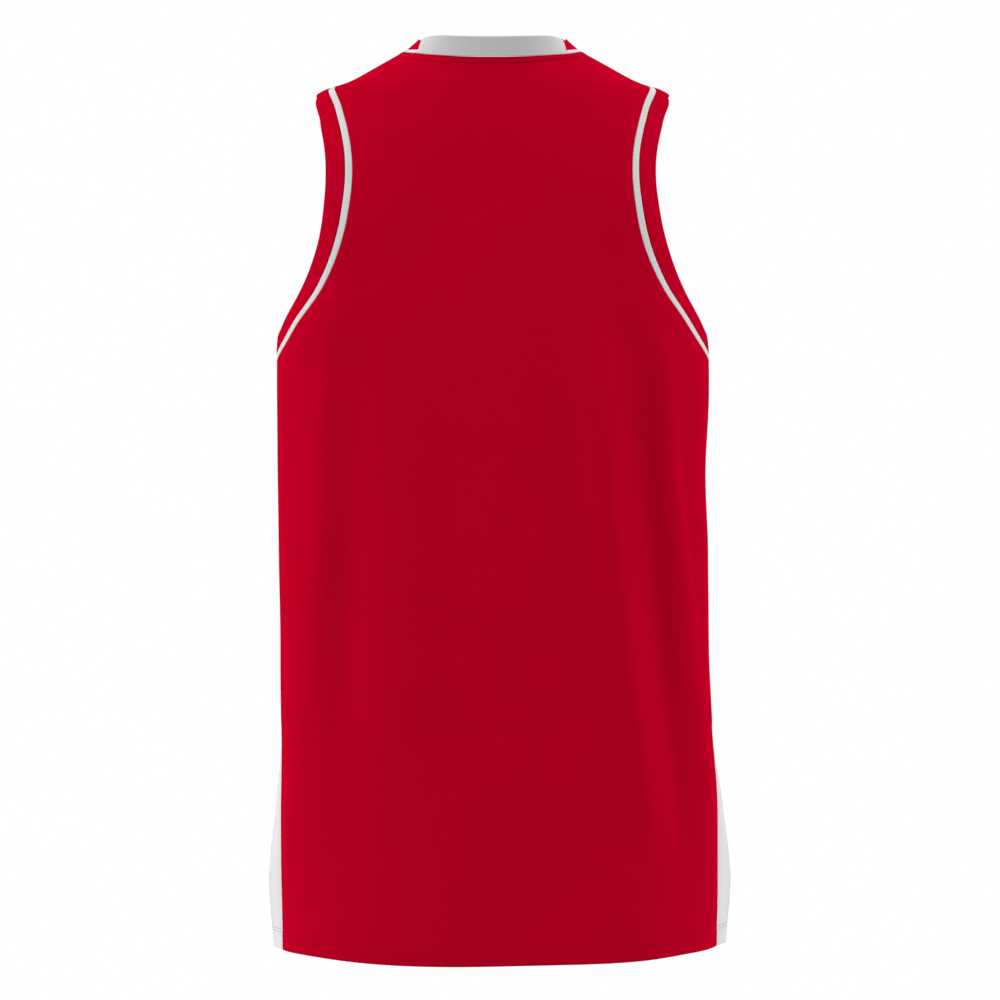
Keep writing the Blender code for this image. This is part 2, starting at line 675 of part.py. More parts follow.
def band_edge(grown):
    """Distance of the arm band's free edge from the armhole seam, where the band has grown by a share."""
    return ARM_PIPING + ARM_BAND_AT_SHOULDER + (ARM_BAND - ARM_BAND_AT_SHOULDER) * grown


def piping_edge(grown):
    """Distance of the piping's far edge from the armhole seam, the same all round."""
    return np.full(grown.shape, ARM_PIPING - SEAM_GAP / 2)


def build_armholes():
    near = SEAM_GAP / 2
    for side, word in ((1, "left"), (-1, "right")):
        piping = both_faces(cloth, ring_places(side, near, piping_edge, 1), TRIM_WALL)
        cloth_piece("armhole_piping_" + word, piping, WHITE, ring=True)
        band = both_faces(cloth, ring_places(side, ARM_PIPING + near, band_edge, 2), TRIM_WALL)
        cloth_piece("armhole_band_" + word, band, RED, ring=True)


def build_neck():
    near = SEAM_GAP / 2
    half_band = (NECK_TRIM + NECK_PIPING) / 2
    insert = insert_strip((NECK_TRIM, half_band, NECK_PIPING, near))
    cloth_piece("neck_insert", both_faces(neck_points, insert, TRIM_WALL), OFF_WHITE)
    piping = front_strip((NECK_PIPING - near, near))
    cloth_piece("neck_piping", both_faces(neck_points, piping, TRIM_WALL), WHITE)
    band = front_strip((NECK_TRIM, half_band, NECK_PIPING + near))
    cloth_piece("neck_band", both_faces(neck_points, band, TRIM_WALL), RED)


def main():
    clear_scene()
    build_body()
    build_sides()
    build_armholes()
    build_neck()


main()
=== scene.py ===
import bpy
import numpy as np
from bpy.props import FloatProperty, FloatVectorProperty, PointerProperty
from bpy.types import Operator, Panel, PropertyGroup
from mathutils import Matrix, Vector


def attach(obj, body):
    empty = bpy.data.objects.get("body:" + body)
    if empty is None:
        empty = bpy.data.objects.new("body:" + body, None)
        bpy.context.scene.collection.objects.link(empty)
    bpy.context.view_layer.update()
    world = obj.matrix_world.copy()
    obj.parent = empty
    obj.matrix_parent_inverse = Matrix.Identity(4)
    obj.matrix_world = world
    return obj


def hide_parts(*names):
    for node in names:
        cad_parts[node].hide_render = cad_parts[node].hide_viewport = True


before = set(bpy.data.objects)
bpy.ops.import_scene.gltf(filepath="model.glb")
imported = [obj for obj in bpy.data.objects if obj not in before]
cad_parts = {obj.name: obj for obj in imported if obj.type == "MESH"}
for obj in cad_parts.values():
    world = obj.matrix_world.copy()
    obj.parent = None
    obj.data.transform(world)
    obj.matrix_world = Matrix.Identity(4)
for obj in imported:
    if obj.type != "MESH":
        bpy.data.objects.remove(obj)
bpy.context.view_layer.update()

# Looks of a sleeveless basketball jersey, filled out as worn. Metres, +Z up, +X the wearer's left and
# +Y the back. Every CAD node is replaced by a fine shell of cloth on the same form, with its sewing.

bl_info = {
    "name": "Basketball jersey",
    "version": (1, 0, 0),
    "blender": (4, 5, 0),
    "location": "3D View > Sidebar > Jersey",
    "description": "Builds the cloth, sewing, lights and camera of a sleeveless jersey",
    "category": "Object",
}

# Cloth, as it shows: knit is thinner than its solid, and the seams close up
KNIT_WALL = 0.0009
TRIM_DOUBLE = 0.0015
HEM_DOUBLE = 0.0018
SEAM_GAP = 0.00004
SEAM_ROLL = 0.00055  # radius at which an edge turns down into a seam

# Level sections of the form, top to bottom: half breadths to the left and right, half depths to the
# back and front, how square the sides and the back are, and how far the side panels stand out.
SECTION_COLUMNS = ("height", "left", "right", "back", "front", "side_flat", "back_flat", "stand")
SECTIONS = (
    (0.0300, 0.0300, 0.0300, 0.0540, 0.0500, 0.00, 0.00, 0.0),
    (0.0120, 0.0560, 0.0560, 0.0600, 0.0560, 0.00, 0.00, 0.0),
    (0.0000, 0.0742, 0.0742, 0.0650, 0.0620, 0.00, 0.00, 0.0),
    (-0.0013, 0.0759, 0.0759, 0.0655, 0.0626, 0.00, 0.00, 0.0),
    (-0.0053, 0.0830, 0.0830, 0.0670, 0.0645, 0.00, 0.00, 0.0),
    (-0.0097, 0.0910, 0.0910, 0.0690, 0.0665, 0.00, 0.00, 0.0),
    (-0.0170, 0.1042, 0.1042, 0.0725, 0.0705, 0.00, 0.00, 0.0),
    (-0.0239, 0.1167, 0.1167, 0.0760, 0.0750, 0.00, 0.00, 0.0),
    (-0.0290, 0.1282, 0.1282, 0.0785, 0.0780, 0.00, 0.00, 0.0),
    (-0.0340, 0.1434, 0.1434, 0.0810, 0.0810, 0.00, 0.00, 0.0),
    (-0.0370, 0.1485, 0.1485, 0.0822, 0.0824, 0.00, 0.00, 0.0),
    (-0.0420, 0.1525, 0.1525, 0.0842, 0.0846, 0.01, 0.01, 0.0),
    (-0.0500, 0.1560, 0.1560, 0.0870, 0.0880, 0.02, 0.03, 0.0),
    (-0.0800, 0.1605, 0.1605, 0.0980, 0.0980, 0.10, 0.12, 0.0),
    (-0.1200, 0.1635, 0.1635, 0.1085, 0.1080, 0.18, 0.22, 0.0),
    (-0.1600, 0.1665, 0.1665, 0.1160, 0.1140, 0.22, 0.28, 0.0),
    (-0.2050, 0.1720, 0.1720, 0.1200, 0.1185, 0.26, 0.30, 0.0),
    (-0.2335, 0.1785, 0.1785, 0.1215, 0.1200, 0.30, 0.32, 0.0),
    (-0.2600, 0.1808, 0.1812, 0.1220, 0.1205, 0.34, 0.33, -0.0012),
    (-0.2900, 0.1806, 0.1814, 0.1220, 0.1205, 0.36, 0.34, -0.0014),
    (-0.3550, 0.1798, 0.1790, 0.1210, 0.1190, 0.36, 0.34, -0.0014),
    (-0.4200, 0.1792, 0.1811, 0.1200, 0.1170, 0.36, 0.34, -0.0012),
    (-0.5000, 0.1778, 0.1814, 0.1185, 0.1155, 0.36, 0.34, -0.0010),
    (-0.5600, 0.1768, 0.1841, 0.1185, 0.1155, 0.35, 0.33, -0.0010),
    (-0.6300, 0.1756, 0.1873, 0.1205, 0.1170, 0.34, 0.32, 0.0058),
    (-0.6900, 0.1746, 0.1865, 0.1235, 0.1190, 0.34, 0.32, 0.0125),
    (-0.7460, 0.1750, 0.1870, 0.1265, 0.1215, 0.34, 0.32, 0.0084),
    (-0.8000, 0.1750, 0.1870, 0.1285, 0.1230, 0.34, 0.32, 0.0060),
)
STAND_REACH = 30.0  # degrees each side of the flank that the standing out spans

# Neck seam: half breadth, drops below the high shoulder points, how each curve bends from its side
# and how broad its bottom is
NECK_HALF = 0.074
NECK_BACK_DROP = 0.0139
NECK_BACK_BEND = 0.43
NECK_BACK_FULL = -0.63
NECK_FRONT_DROP = 0.1180
NECK_FRONT_BEND = 2.0
NECK_FRONT_FULL = 0.8

# Neck trim: its height, the piping's share, and how far it leans out from the form at centre back
# and at the shoulders
NECK_TRIM = 0.0163
NECK_PIPING = 0.0038
NECK_LEAN = 44.0
NECK_SIDE_LEAN = 1.0
NECK_LEAN_BEND = 1.5  # how fast the first lean fades from centre back to the shoulders
INSERT_END_LOW = 56.0  # degrees round the neck where the insert's slanted end meets the seam
INSERT_END_TOP = 67.0  # and where it meets the free edge
NECK_END_GAP = 0.0005  # half the gap at those ends, as a turn in radians

# Shoulder and side seams, as angles round the body
SHOULDER_SEAM = 96.0
SIDE_SEAM_COLUMNS = ("height", "back", "front")
SIDE_SEAMS = (
    (-0.2200, 74.5, 106.5),
    (-0.4000, 74.0, 107.0),
    (-0.5600, 73.0, 108.0),
    (-0.6300, 71.5, 109.0),
    (-0.6900, 70.0, 110.0),
    (-0.7500, 69.0, 111.0),
)
SIDE_UPPER_LEVEL = -0.4013  # seams between the three sections of the side panel
SIDE_LOWER_LEVEL = -0.5610

# Seam between body and armhole trim, from the shoulder down the back, round under the arm and up the front
ARMHOLE_COLUMNS = ("angle", "height")
ARMHOLE = (
    (90.0, -0.0300),
    (69.0, -0.0322),
    (60.2, -0.0378),
    (54.5, -0.0455),
    (49.4, -0.0590),
    (42.3, -0.0870),
    (39.2, -0.1143),
    (38.9, -0.1430),
    (41.4, -0.1804),
    (47.9, -0.2155),
    (61.5, -0.2495),
    (90.0, -0.2640),
    (119.0, -0.2520),
    (133.0, -0.2180),
    (139.5, -0.1820),
    (142.0, -0.1430),
    (140.5, -0.1120),
    (136.5, -0.0850),
    (130.0, -0.0600),
    (125.5, -0.0465),
    (119.8, -0.0380),
    (111.0, -0.0325),
)
ARM_PIPING = 0.0059
ARM_BAND = 0.0173
ARM_BAND_AT_SHOULDER = 0.0137
ARM_BAND_GROWS = 0.04  # share of the loop over which the band reaches its full width

# Hem: level at the side seams, with the drop at centre back and front, the tilt and the vent corners
HEM_LEVEL = -0.7434
HEM_MIDDLE_DROP = 0.0058
HEM_TILT = 0.0017
VENT_CORNER_DROP = 0.0042
VENT_REACH = 22.0  # degrees each side of the flank over which the corners drop
VENT_TOP = -0.6908
VENT_GAP = 0.0050
VENT_ROUND = 0.0015  # length below its top over which the vent's edges round off
VENT_TURN = (0.006, 0.003)  # how far above its top the turned edges start, and over what length
VENT_BAR = 0.0045  # height above its top of the row of stitches across
VENT_PULL = 0.016  # how far from its edge the open vent draws the cloth aside

# Folds of the cloth. Angles at the top and low ends, how late the fold turns from one to the other,
# heights of its ends, how far it stands out (less than 0 for a trough) and its half width in degrees.
FOLD_COLUMNS = ("angle", "low_angle", "turn", "top", "low", "out", "wide")
FOLDS = (
    (-30.5, -52.0, 1.9, -0.190, -0.725, -0.0050, 6.0),
    (-39.0, -64.0, 1.7, -0.200, -0.715, 0.0034, 6.5),
    (28.0, 34.5, 1.2, -0.215, -0.640, -0.0030, 6.5),
    (37.5, 50.0, 1.5, -0.240, -0.620, 0.0020, 6.5),
    (-4.0, -8.0, 1.0, -0.520, -0.860, -0.0022, 13.0),
    (146.0, 134.0, 1.6, -0.240, -0.730, -0.0046, 6.5),
    (155.0, 147.0, 1.4, -0.260, -0.700, 0.0024, 7.0),
    (-150.0, -143.0, 1.3, -0.230, -0.660, -0.0034, 6.5),
    (-141.0, -129.0, 1.6, -0.260, -0.690, 0.0026, 6.5),
    (176.0, 171.0, 1.0, -0.480, -0.830, -0.0020, 12.0),
)
FOLD_BEND = 1.5  # how sharply a fold grows and fades along its length

# Finer creases of the cloth, as straight or bowed lines between two places: angle and height of each
# end, how far the middle bows sideways, how far it stands out, and its half width on both sides
CREASE_COLUMNS = ("angle", "height", "to_angle", "to_height", "bow", "out", "wide")
CREASES = (
    (41.0, -0.158, 14.4, -0.126, 0.0069, 0.0019, 0.026),
    (-3.4, -0.105, -49.2, -0.153, -0.0018, 0.0029, 0.032),
    (32.6, -0.178, 4.7, -0.188, 0.0029, -0.0021, 0.040),
    (-15.2, -0.201, -47.0, -0.216, 0.0049, 0.0015, 0.032),
    (-57.8, -0.030, -40.7, -0.078, -0.0062, 0.0016, 0.007),
    (62.4, -0.064, 44.9, -0.160, 0.0053, 0.0040, 0.027),
    (5.9, -0.073, -33.1, -0.069, -0.0060, 0.0018, 0.029),
    (60.0, -0.290, 52.0, -0.430, 0.0040, 0.0003, 0.016),
    (-72.0, -0.285, -66.0, -0.420, -0.004, -0.0010, 0.012),
    (83.0, -0.300, 88.0, -0.470, 0.003, -0.0012, 0.014),
    (-84.0, -0.310, -92.0, -0.500, -0.004, -0.0013, 0.014),
    (104.0, -0.275, 118.0, -0.400, 0.004, -0.0012, 0.013),
    (-106.0, -0.280, -121.0, -0.420, -0.005, -0.0013, 0.013),
    (140.0, -0.190, 160.0, -0.235, 0.004, -0.0011, 0.013),
    (-141.0, -0.180, -163.0, -0.215, -0.004, -0.0010, 0.014),
    (150.0, -0.060, 146.0, -0.120, 0.002, -0.0009, 0.012),
    (-151.0, -0.062, -147.0, -0.128, -0.002, -0.0010, 0.012),
    (168.0, -0.400, 158.0, -0.640, 0.006, -0.0014, 0.018),
    (-170.0, -0.330, -161.0, -0.560, 0.005, -0.0012, 0.018),
    (175.0, -0.160, -176.0, -0.250, 0.003, -0.0008, 0.020),
)
ARC_PER_RADIAN = 0.165  # sideways distance for a radian, for the creases' lines
CREASE_END = 0.25  # share of its height that a crease has at its ends

# Long soft folds over those of the solid, with the same columns and the shares of their length over
# which they grow and fade
DRAPE_COLUMNS = ("angle", "low_angle", "turn", "top", "low", "out", "wide", "starts", "ends")
DRAPE = (
    (-48.2, -42.2, 2.62, -0.211, -0.896, -0.0080, 13.6, 0.18, 0.20),
    (-33.1, -69.3, 0.93, -0.196, -0.727, 0.0040, 5.1, 0.13, 0.03),
    (-19.6, -35.5, 1.53, -0.203, -0.688, 0.0080, 4.7, 0.28, 0.36),
    (0.8, 36.9, 0.64, -0.040, -0.844, -0.0080, 18.0, 0.13, 0.11),
    (32.6, 69.3, 1.10, -0.183, -0.698, 0.0012, 5.7, 0.11, 0.03),
    (18.4, 20.0, 2.51, -0.164, -0.707, 0.0080, 9.7, 0.35, 0.36),
    (-14.0, -7.0, 0.58, -0.583, -0.776, -0.0080, 14.9, 0.83, 0.09),
    (26.9, 26.2, 1.54, -0.030, -0.225, -0.0014, 15.7, 0.07, 0.63),
    (36.1, 30.4, 0.52, -0.066, -0.251, -0.0027, 5.7, 0.47, 0.55),
    (-26.7, -27.9, 0.51, -0.030, -0.301, -0.0077, 10.1, 0.54, 0.31),
    (47.7, 47.8, 1.61, -0.230, -0.842, -0.0080, 15.9, 0.09, 0.06),
    (-63.1, -68.9, 0.50, -0.305, -0.582, 0.0040, 7.0, 0.47, 0.18),
    (150.0, 134.0, 1.9, -0.200, -0.760, -0.0028, 6.0, 0.30, 0.20),
    (141.0, 122.0, 1.6, -0.210, -0.700, 0.0026, 6.0, 0.35, 0.20),
    (-152.0, -140.0, 1.7, -0.190, -0.740, -0.0024, 6.5, 0.30, 0.25),
    (-143.0, -127.0, 1.4, -0.220, -0.660, 0.0022, 6.0, 0.30, 0.25),
    (174.0, 168.0, 1.0, -0.540, -0.790, -0.0032, 11.0, 0.80, 0.05),
    (160.0, 155.0, 1.2, -0.180, -0.560, 0.0016, 8.0, 0.40, 0.40),
)
DRAPE_SIDE = 0.96  # sine of the angle where these folds have faded, and the length of the fade
DRAPE_FADES = 0.12

# Broad unevenness of worn knit: turns round the body, waves a metre down it, start, size
WAVE_COLUMNS = ("turns", "waves", "start", "size")
WAVES = (
    (3, 4.1, 0.4, 0.00018),
    (5, -3.3, 1.9, 0.00014),
    (7, 6.7, 2.7, 0.00010),
    (11, -5.2, 0.9, 0.00007),
    (13, 9.4, 4.1, 0.00005),
    (17, -11.0, 5.3, 0.00004),
    (23, 14.0, 3.2, 0.00003),
)

# How finely each piece is divided. The cells are those of the solids, parted again here.
BACK_CELLS = {"across": 38, "shoulder": 7, "armhole": 19, "seam": 18}
FRONT_CELLS = {"across": 32, "shoulder": 7, "armhole": 17, "seam": 14}
FINER = 8  # parts of each cell, of whose lines each second one is kept
KEEP_EACH = 2
BODY_FILL = {"down": (1, 8), "across": (2, 2)}  # lines between those at the edges and the kept ones
SIDE_COLUMNS = 97
SIDE_ROWS = {"top": 48, "middle": 56, "low": 70}
SIDE_LAST_KEPT = {"top": 3, "middle": 3, "low": 13}  # rows before the end at which kept ones stop
SIDE_KEEP_EACH = 4
SIDE_FILL = {"down": (0, 4), "across": (1, 1)}
VENT_FILL = 8
PIPING_ROWS = (0.38, 0.5, 0.62)
BAND_ROWS = np.linspace(0.15, 0.85, 9)
SHOULDER_POINTS = 60
BODY_EDGE_POINTS = 120
SIDE_EDGE_POINTS = 240
LOOP_POINTS = 480
RING_POINTS = 320
NECK_POINTS = 260
MOVE_STEPS = 8  # in which a line is moved over the form
EVEN_REACH = 10  # points over which directions along a line are averaged
TINY = 1e-4  # turn or rise over which a slope is measured
TOP_SHARES = (0.9, 1.03)  # where round the armhole the shoulder and side seams are looked for
SEAM_SHARES = {"back": (0.3, 0.52), "front": (0.5, 0.7)}
SHARE_TRIES = 400
SINE_PASSES = 30
HEM_PASSES = 3
FLAT_STEPS = 16
ARMHOLE_CLOSER = 1.25  # how much closer rows of cells lie at the top of the armhole
RELAX_PASSES = 400
RELAX_STEP = 0.8

# Distances from an edge at which a shell has lines of points
SEAM_LINES = (0.0, 0.00008, 0.00022, 0.00042, 0.0008, 0.0015)
NECK_LINES = SEAM_LINES + (0.0026, 0.0038, 0.0048, 0.0052, 0.0055, 0.0058, 0.0062, 0.0072)
FREE_LINES = (0.0, 0.00006, 0.0002, 0.00045, 0.0009, 0.0018)
HEM_LINES = FREE_LINES + (
    0.0035, 0.006, 0.0085, 0.011, 0.0128, 0.0134, 0.0138, 0.0141, 0.0144, 0.0148, 0.0154,
    0.016, 0.0164, 0.0167, 0.017, 0.0174, 0.018, 0.0186, 0.0192, 0.0204, 0.022, 0.0245,
)
VENT_LINES = FREE_LINES + (
    0.0032, 0.0048, 0.0062, 0.007, 0.0074, 0.0078, 0.0082, 0.0086, 0.0092, 0.0102, 0.012,
)

# Turned edges and their rows of stitches, as distances from the neck seam, the hem's edge and the
# vent's. Of a turned layer, how far it lifts the cloth outside and thickens it inside, each with
# the length over which that fades.
NECK_STITCH = 0.0055
NECK_STARTS = 0.0016
NECK_TURNED = (0.0068, 0.0012)
HEM_STITCHES = (0.0141, 0.0167)
HEM_TURNED = (0.0182, 0.001)
HEM_INSIDE = (0.0188, 0.0006)
VENT_STITCH = 0.0078
VENT_TURNED = (0.0088, 0.001)
VENT_INSIDE = (0.0096, 0.0006)
GROOVE = 0.00032  # how deep a row of stitches pulls the cloth in
GROOVE_WIDE = 0.0007
PUCKERS = ((83, 0.7), (131, 2.1), (47, 4.0))  # uneven pull of the stitches: waves round the body, start
HEM_PUFF = 0.00028  # how far a turned layer lifts the cloth
HEM_LEAN = 0.11  # how far the hem leans in, for its height
NECK_CURL = 0.0024  # how far the neck trim curls outwards over its height
PIPING_CROWN = 0.00025  # how far the middle of each strip stands out
BAND_CROWN = 0.0003
TRIM_CROWN = 0.0003
CROWN_BEND = 0.8

# A stitch's thread: where on its pitch it starts, how thick each ring is, how far it arches and sinks
STITCH_START = 0.3
THREAD_TAPER = (0.55, 1.0, 1.08, 1.0, 0.55)
THREAD_SIDES = 6
THREAD_ARCH = 0.75
THREAD_SUNK = 0.35

# Knit and thread as shading: noise scales and details, and how each value goes from low to high
YARN_NOISE = (1100.0, 3.0)
BROAD_NOISE = (26.0, 3.0)
TWIST_NOISE = (2600.0, 2.0)
LOOP_WAVE = (0.22, 0.72)
YARN_SHARE = 0.35
# The knit's colour is painted darker where its relief sinks, between its wales and loops: painted shade, over
# the yarn's own uneven tone
PAINTED_SHADE_RANGE = (0.16, 0.82)
BROAD_SHADE = 0.04
KNIT_ROUGH = (-0.10, 0.92)
KNIT_DEPTH = 0.00018
# How much darker and lighter the thread is painted where its twist sinks and rises: painted shade and painted
# light
THREAD_PAINTED_SHADE = 0.72
THREAD_PAINTED_LIGHT = 1.1
THREAD_ROUGH = (0.3, 0.45)
THREAD_BUMP = 0.4
THREAD_DEPTH = 0.0001
THREAD_SHINE = 0.05
FLOOR_ROUGH = 0.9
WHITE = (1.0, 1.0, 1.0, 1.0)


def curve(t, start, end, leaving, arriving):
    """Smooth curve as t goes from 0 to 1, from its ends and how fast it leaves one and reaches the other."""
    ends = start * (1 + 2 * t) * (1 - t) ** 2 + end * t * t * (3 - 2 * t)
    return ends + t * (1 - t) * (leaving * (1 - t) - arriving * t)


def smooth_through(at, knots, values):
    """Curve through values at rising knots, with no overshoot, carried on straight past both ends."""
    step = np.diff(knots)
    rise = np.diff(values) / step
    slope = np.concatenate([rise[:1], np.zeros(len(step) - 1), rise[-1:]])
    for i in range(1, len(step)):
        if rise[i - 1] * rise[i] > 0:
            before = 2 * step[i] + step[i - 1]
            after = step[i] + 2 * step[i - 1]
            slope[i] = (before + after) / (before / rise[i - 1] + after / rise[i])
    inside = np.clip(at, knots[0], knots[-1])
    cell = np.clip(np.searchsorted(knots, inside, side="right") - 1, 0, len(step) - 1)
    t = (inside - knots[cell]) / step[cell]
    line = curve(t, values[cell], values[cell + 1], step[cell] * slope[cell], step[cell] * slope[cell + 1])
    return line + np.where(at < knots[0], slope[0], slope[-1]) * (at - inside)


def looked_up(rows, columns, name, height):
    """One column of a table whose rows go down the body, at any height."""
    table = np.array(rows)[::-1]
    return smooth_through(height, table[:, 0], table[:, columns.index(name)])


def section(name, height):
    return looked_up(SECTIONS, SECTION_COLUMNS, name, height)


def form(place):
    """Points of the bare form at places, each an angle in radians and a height."""
    angle = place[..., 0]
    height = place[..., 1]
    across = np.sin(angle)
    along = np.cos(angle)
    breadth = np.where(across > 0, section("left", height), section("right", height))
    depth = np.where(along > 0, section("back", height), section("front", height))
    from_flank = np.degrees(np.arccos(np.clip(np.abs(across), 0, 1)))
    near_flank = np.cos(np.clip(from_flank / STAND_REACH, 0, 1) * np.pi / 2) ** 2
    x = breadth * across * (1 + section("side_flat", height) * along**2)
    x += np.sign(across) * section("stand", height) * near_flank
    y = depth * along * (1 + section("back_flat", height) * across**2)
    return np.stack([x, y, height], axis=-1)


def unit(vectors):
    return vectors / np.linalg.norm(vectors, axis=-1, keepdims=True)


def directions(place, surface=form):
    """How a surface's point moves for a unit of angle and for a unit of height."""
    turn = np.array([TINY, 0.0])
    rise = np.array([0.0, TINY])
    around = (surface(place + turn) - surface(place - turn)) / (2 * TINY)
    up = (surface(place + rise) - surface(place - rise)) / (2 * TINY)
    return around, up


def outward(place, surface=form):
    """Outward directions of a surface."""
    around, up = directions(place, surface)
    return unit(np.cross(up, around))


def eased(share):
    """From 0 to 1, level at both ends."""
    share = np.clip(share, 0, 1)
    return share * share * (3 - 2 * share)


def on_fold(fold, place):
    """The share of a fold's length that is above each place, and how far the fold stands out beside it."""
    down = np.clip((fold["top"] - place[..., 1]) / (fold["top"] - fold["low"]), 0, 1)
    line = fold["angle"] + (fold["low_angle"] - fold["angle"]) * down ** fold["turn"]
    aside = (np.degrees(place[..., 0]) - line + 180) % 360 - 180
    return down, fold["out"] * np.exp(-((aside / fold["wide"]) ** 2))


def fold_height(place):
    """How far the folds of the solid move the cloth out from the form."""
    out = np.zeros(place.shape[:-1])
    for row in FOLDS:
        down, size = on_fold(dict(zip(FOLD_COLUMNS, row)), place)
        out += size * np.sin(np.pi * down) ** FOLD_BEND
    return out


def drape_height(place):
    """How far the long soft folds move it out, over those of the solid."""
    out = np.zeros(place.shape[:-1])
    for row in DRAPE:
        fold = dict(zip(DRAPE_COLUMNS, row))
        down, size = on_fold(fold, place)
        out += size * eased(down / fold["starts"]) * eased((1 - down) / fold["ends"])
    return out * eased((DRAPE_SIDE - np.abs(np.sin(place[..., 0]))) / DRAPE_FADES)


def crease_height(place):
    """How far the finer creases and the cloth's unevenness move it out."""
    angle = place[..., 0]
    height = place[..., 1]
    out = np.zeros(angle.shape)
    for row in CREASES:
        crease = dict(zip(CREASE_COLUMNS, row))
        turn = np.radians((crease["to_angle"] - crease["angle"] + 180) % 360 - 180)
        run = np.array([turn * ARC_PER_RADIAN, crease["to_height"] - crease["height"]])
        aside = (angle - np.radians(crease["angle"]) + np.pi) % (2 * np.pi) - np.pi
        x = aside * ARC_PER_RADIAN
        z = height - crease["height"]
        length = np.hypot(*run)
        along = (x * run[0] + z * run[1]) / length**2
        inside = np.clip(along, 0, 1)
        hump = np.sin(np.pi * inside)
        across = (x * run[1] - z * run[0]) / length - crease["bow"] * hump
        past = (along - inside) * length
        far = (across / crease["wide"]) ** 2 + (past / crease["wide"]) ** 2
        out += crease["out"] * np.exp(-far) * (CREASE_END + (1 - CREASE_END) * hump)
    for row in WAVES:
        wave = dict(zip(WAVE_COLUMNS, row))
        phase = wave["turns"] * angle + 2 * np.pi * wave["waves"] * height + wave["start"]
        out += wave["size"] * np.sin(phase)
    return out


def cloth(place):
    """Points of the cloth's outer face."""
    out = fold_height(place) + drape_height(place) + crease_height(place)
    return form(place) + outward(place) * out[..., None]


def moved_on_form(place, shift):
    """Places after their points move by short vectors that lie in the form."""
    round_body, up_body = directions(place)
    aa = (round_body * round_body).sum(-1)
    bb = (up_body * up_body).sum(-1)
    ab = (round_body * up_body).sum(-1)
    a = (round_body * shift).sum(-1)
    b = (up_body * shift).sum(-1)
    spread = aa * bb - ab * ab
    change = np.stack([(a * bb - b * ab) / spread, (b * aa - a * ab) / spread], axis=-1)
    return place + change


def evened(vectors):
    """Directions along a closed line, each averaged with its neighbours."""
    steps = np.arange(-3 * EVEN_REACH, 3 * EVEN_REACH + 1)
    weights = np.exp(-((steps / EVEN_REACH) ** 2))
    return unit(sum(weight * np.roll(vectors, -step, axis=0) for step, weight in zip(steps, weights)))


def loop_moved(loop, distance, side):
    """A closed line moved over the form towards the arm by a distance, which may vary along it."""
    distance = np.broadcast_to(distance, loop.shape[:1])
    for _ in range(MOVE_STEPS):
        point = form(loop)
        tangent = unit(np.roll(point, -1, axis=0) - np.roll(point, 1, axis=0))
        towards_arm = evened(side * np.cross(tangent, outward(loop)))
        loop = moved_on_form(loop, towards_arm * (distance / MOVE_STEPS)[:, None])
    return loop


def loop_at(loop, share):
    """Places at shares of the way round a closed line. Shares may be under 0 or over 1."""
    own = np.arange(len(loop)) / len(loop)
    columns = [np.interp(share, own, loop[:, k], period=1) for k in (0, 1)]
    return np.stack(columns, axis=-1)


def armhole_seam(side):
    """The seam between body and armhole trim as a smooth closed line, from the shoulder point backwards."""
    knots = np.array(ARMHOLE)
    knots[:, ARMHOLE_COLUMNS.index("angle")] *= np.radians(side)
    point = form(knots)
    chord = np.linalg.norm(np.roll(point, -1, axis=0) - point, axis=1)
    before = np.roll(chord, 1)
    step_on = (np.roll(knots, -1, axis=0) - knots) / chord[:, None]
    step_back = np.roll(step_on, 1, axis=0)
    slope = (step_on * before[:, None] + step_back * chord[:, None]) / (chord + before)[:, None]
    start = np.concatenate([[0.0], np.cumsum(chord)])
    way = np.arange(LOOP_POINTS) / LOOP_POINTS * start[-1]
    cell = np.searchsorted(start, way, side="right") - 1
    after = (cell + 1) % len(knots)
    length = chord[cell][:, None]
    t = ((way - start[cell]) / chord[cell])[:, None]
    return curve(t, knots[cell], knots[after], length * slope[cell], length * slope[after])


def side_seam(name, height):
    return np.radians(looked_up(SIDE_SEAMS, SIDE_SEAM_COLUMNS, name, height))


def turn_for(place, distance):
    """The angle that moves a point of the form sideways by a distance."""
    return distance / np.linalg.norm(directions(place)[0], axis=-1)


def share_where(loop, wanted, shares):
    """The share of a closed line, within a rising pair of shares, where a measure changes sign."""
    tried = np.linspace(*shares, SHARE_TRIES)
    measure = wanted(loop_at(loop, tried))
    change = np.nonzero(np.sign(measure[:-1]) != np.sign(measure[1:]))[0][0]
    part = measure[change] / (measure[change] - measure[change + 1])
    return tried[change] + part * (tried[change + 1] - tried[change])


def hem_height(angle):
    """Height of the hem's edge at an angle round the body."""
    from_flank = np.degrees(np.arccos(np.clip(np.abs(np.sin(angle)), 0, 1)))
    corner = np.cos(np.clip(from_flank / VENT_REACH, 0, 1) * np.pi / 2) ** 2
    middle = HEM_MIDDLE_DROP * np.cos(angle) ** 4
    return HEM_LEVEL - HEM_TILT * np.sin(angle) - middle - VENT_CORNER_DROP * corner


def neck_place(turn):
    """Place of the neck seam. The turn goes round the neck from centre back, 90 degrees at a shoulder."""
    drop = np.where(np.cos(turn) > 0, NECK_BACK_DROP, NECK_FRONT_DROP)
    bend = np.where(np.cos(turn) > 0, NECK_BACK_BEND, NECK_FRONT_BEND)
    full = np.where(np.cos(turn) > 0, NECK_BACK_FULL, NECK_FRONT_FULL)
    from_side = np.abs(np.cos(turn))
    height = -drop * from_side**bend * (1 + full - full * from_side)
    x = NECK_HALF * np.sin(turn)
    breadth = np.where(x > 0, section("left", height), section("right", height))
    flat = section("side_flat", height)
    ratio = np.clip(np.abs(x) / breadth, 0, 1)
    sine = ratio.copy()
    for _ in range(SINE_PASSES):
        sine = np.clip(sine - ((1 + flat) * sine - flat * sine**3 - ratio) / (1 + flat), 0, 1)
    angle = np.arcsin(sine)
    angle = np.where(np.cos(turn) > 0, angle, np.pi - angle) * np.where(x < 0, -1, 1)
    return np.stack([angle, height], axis=-1)


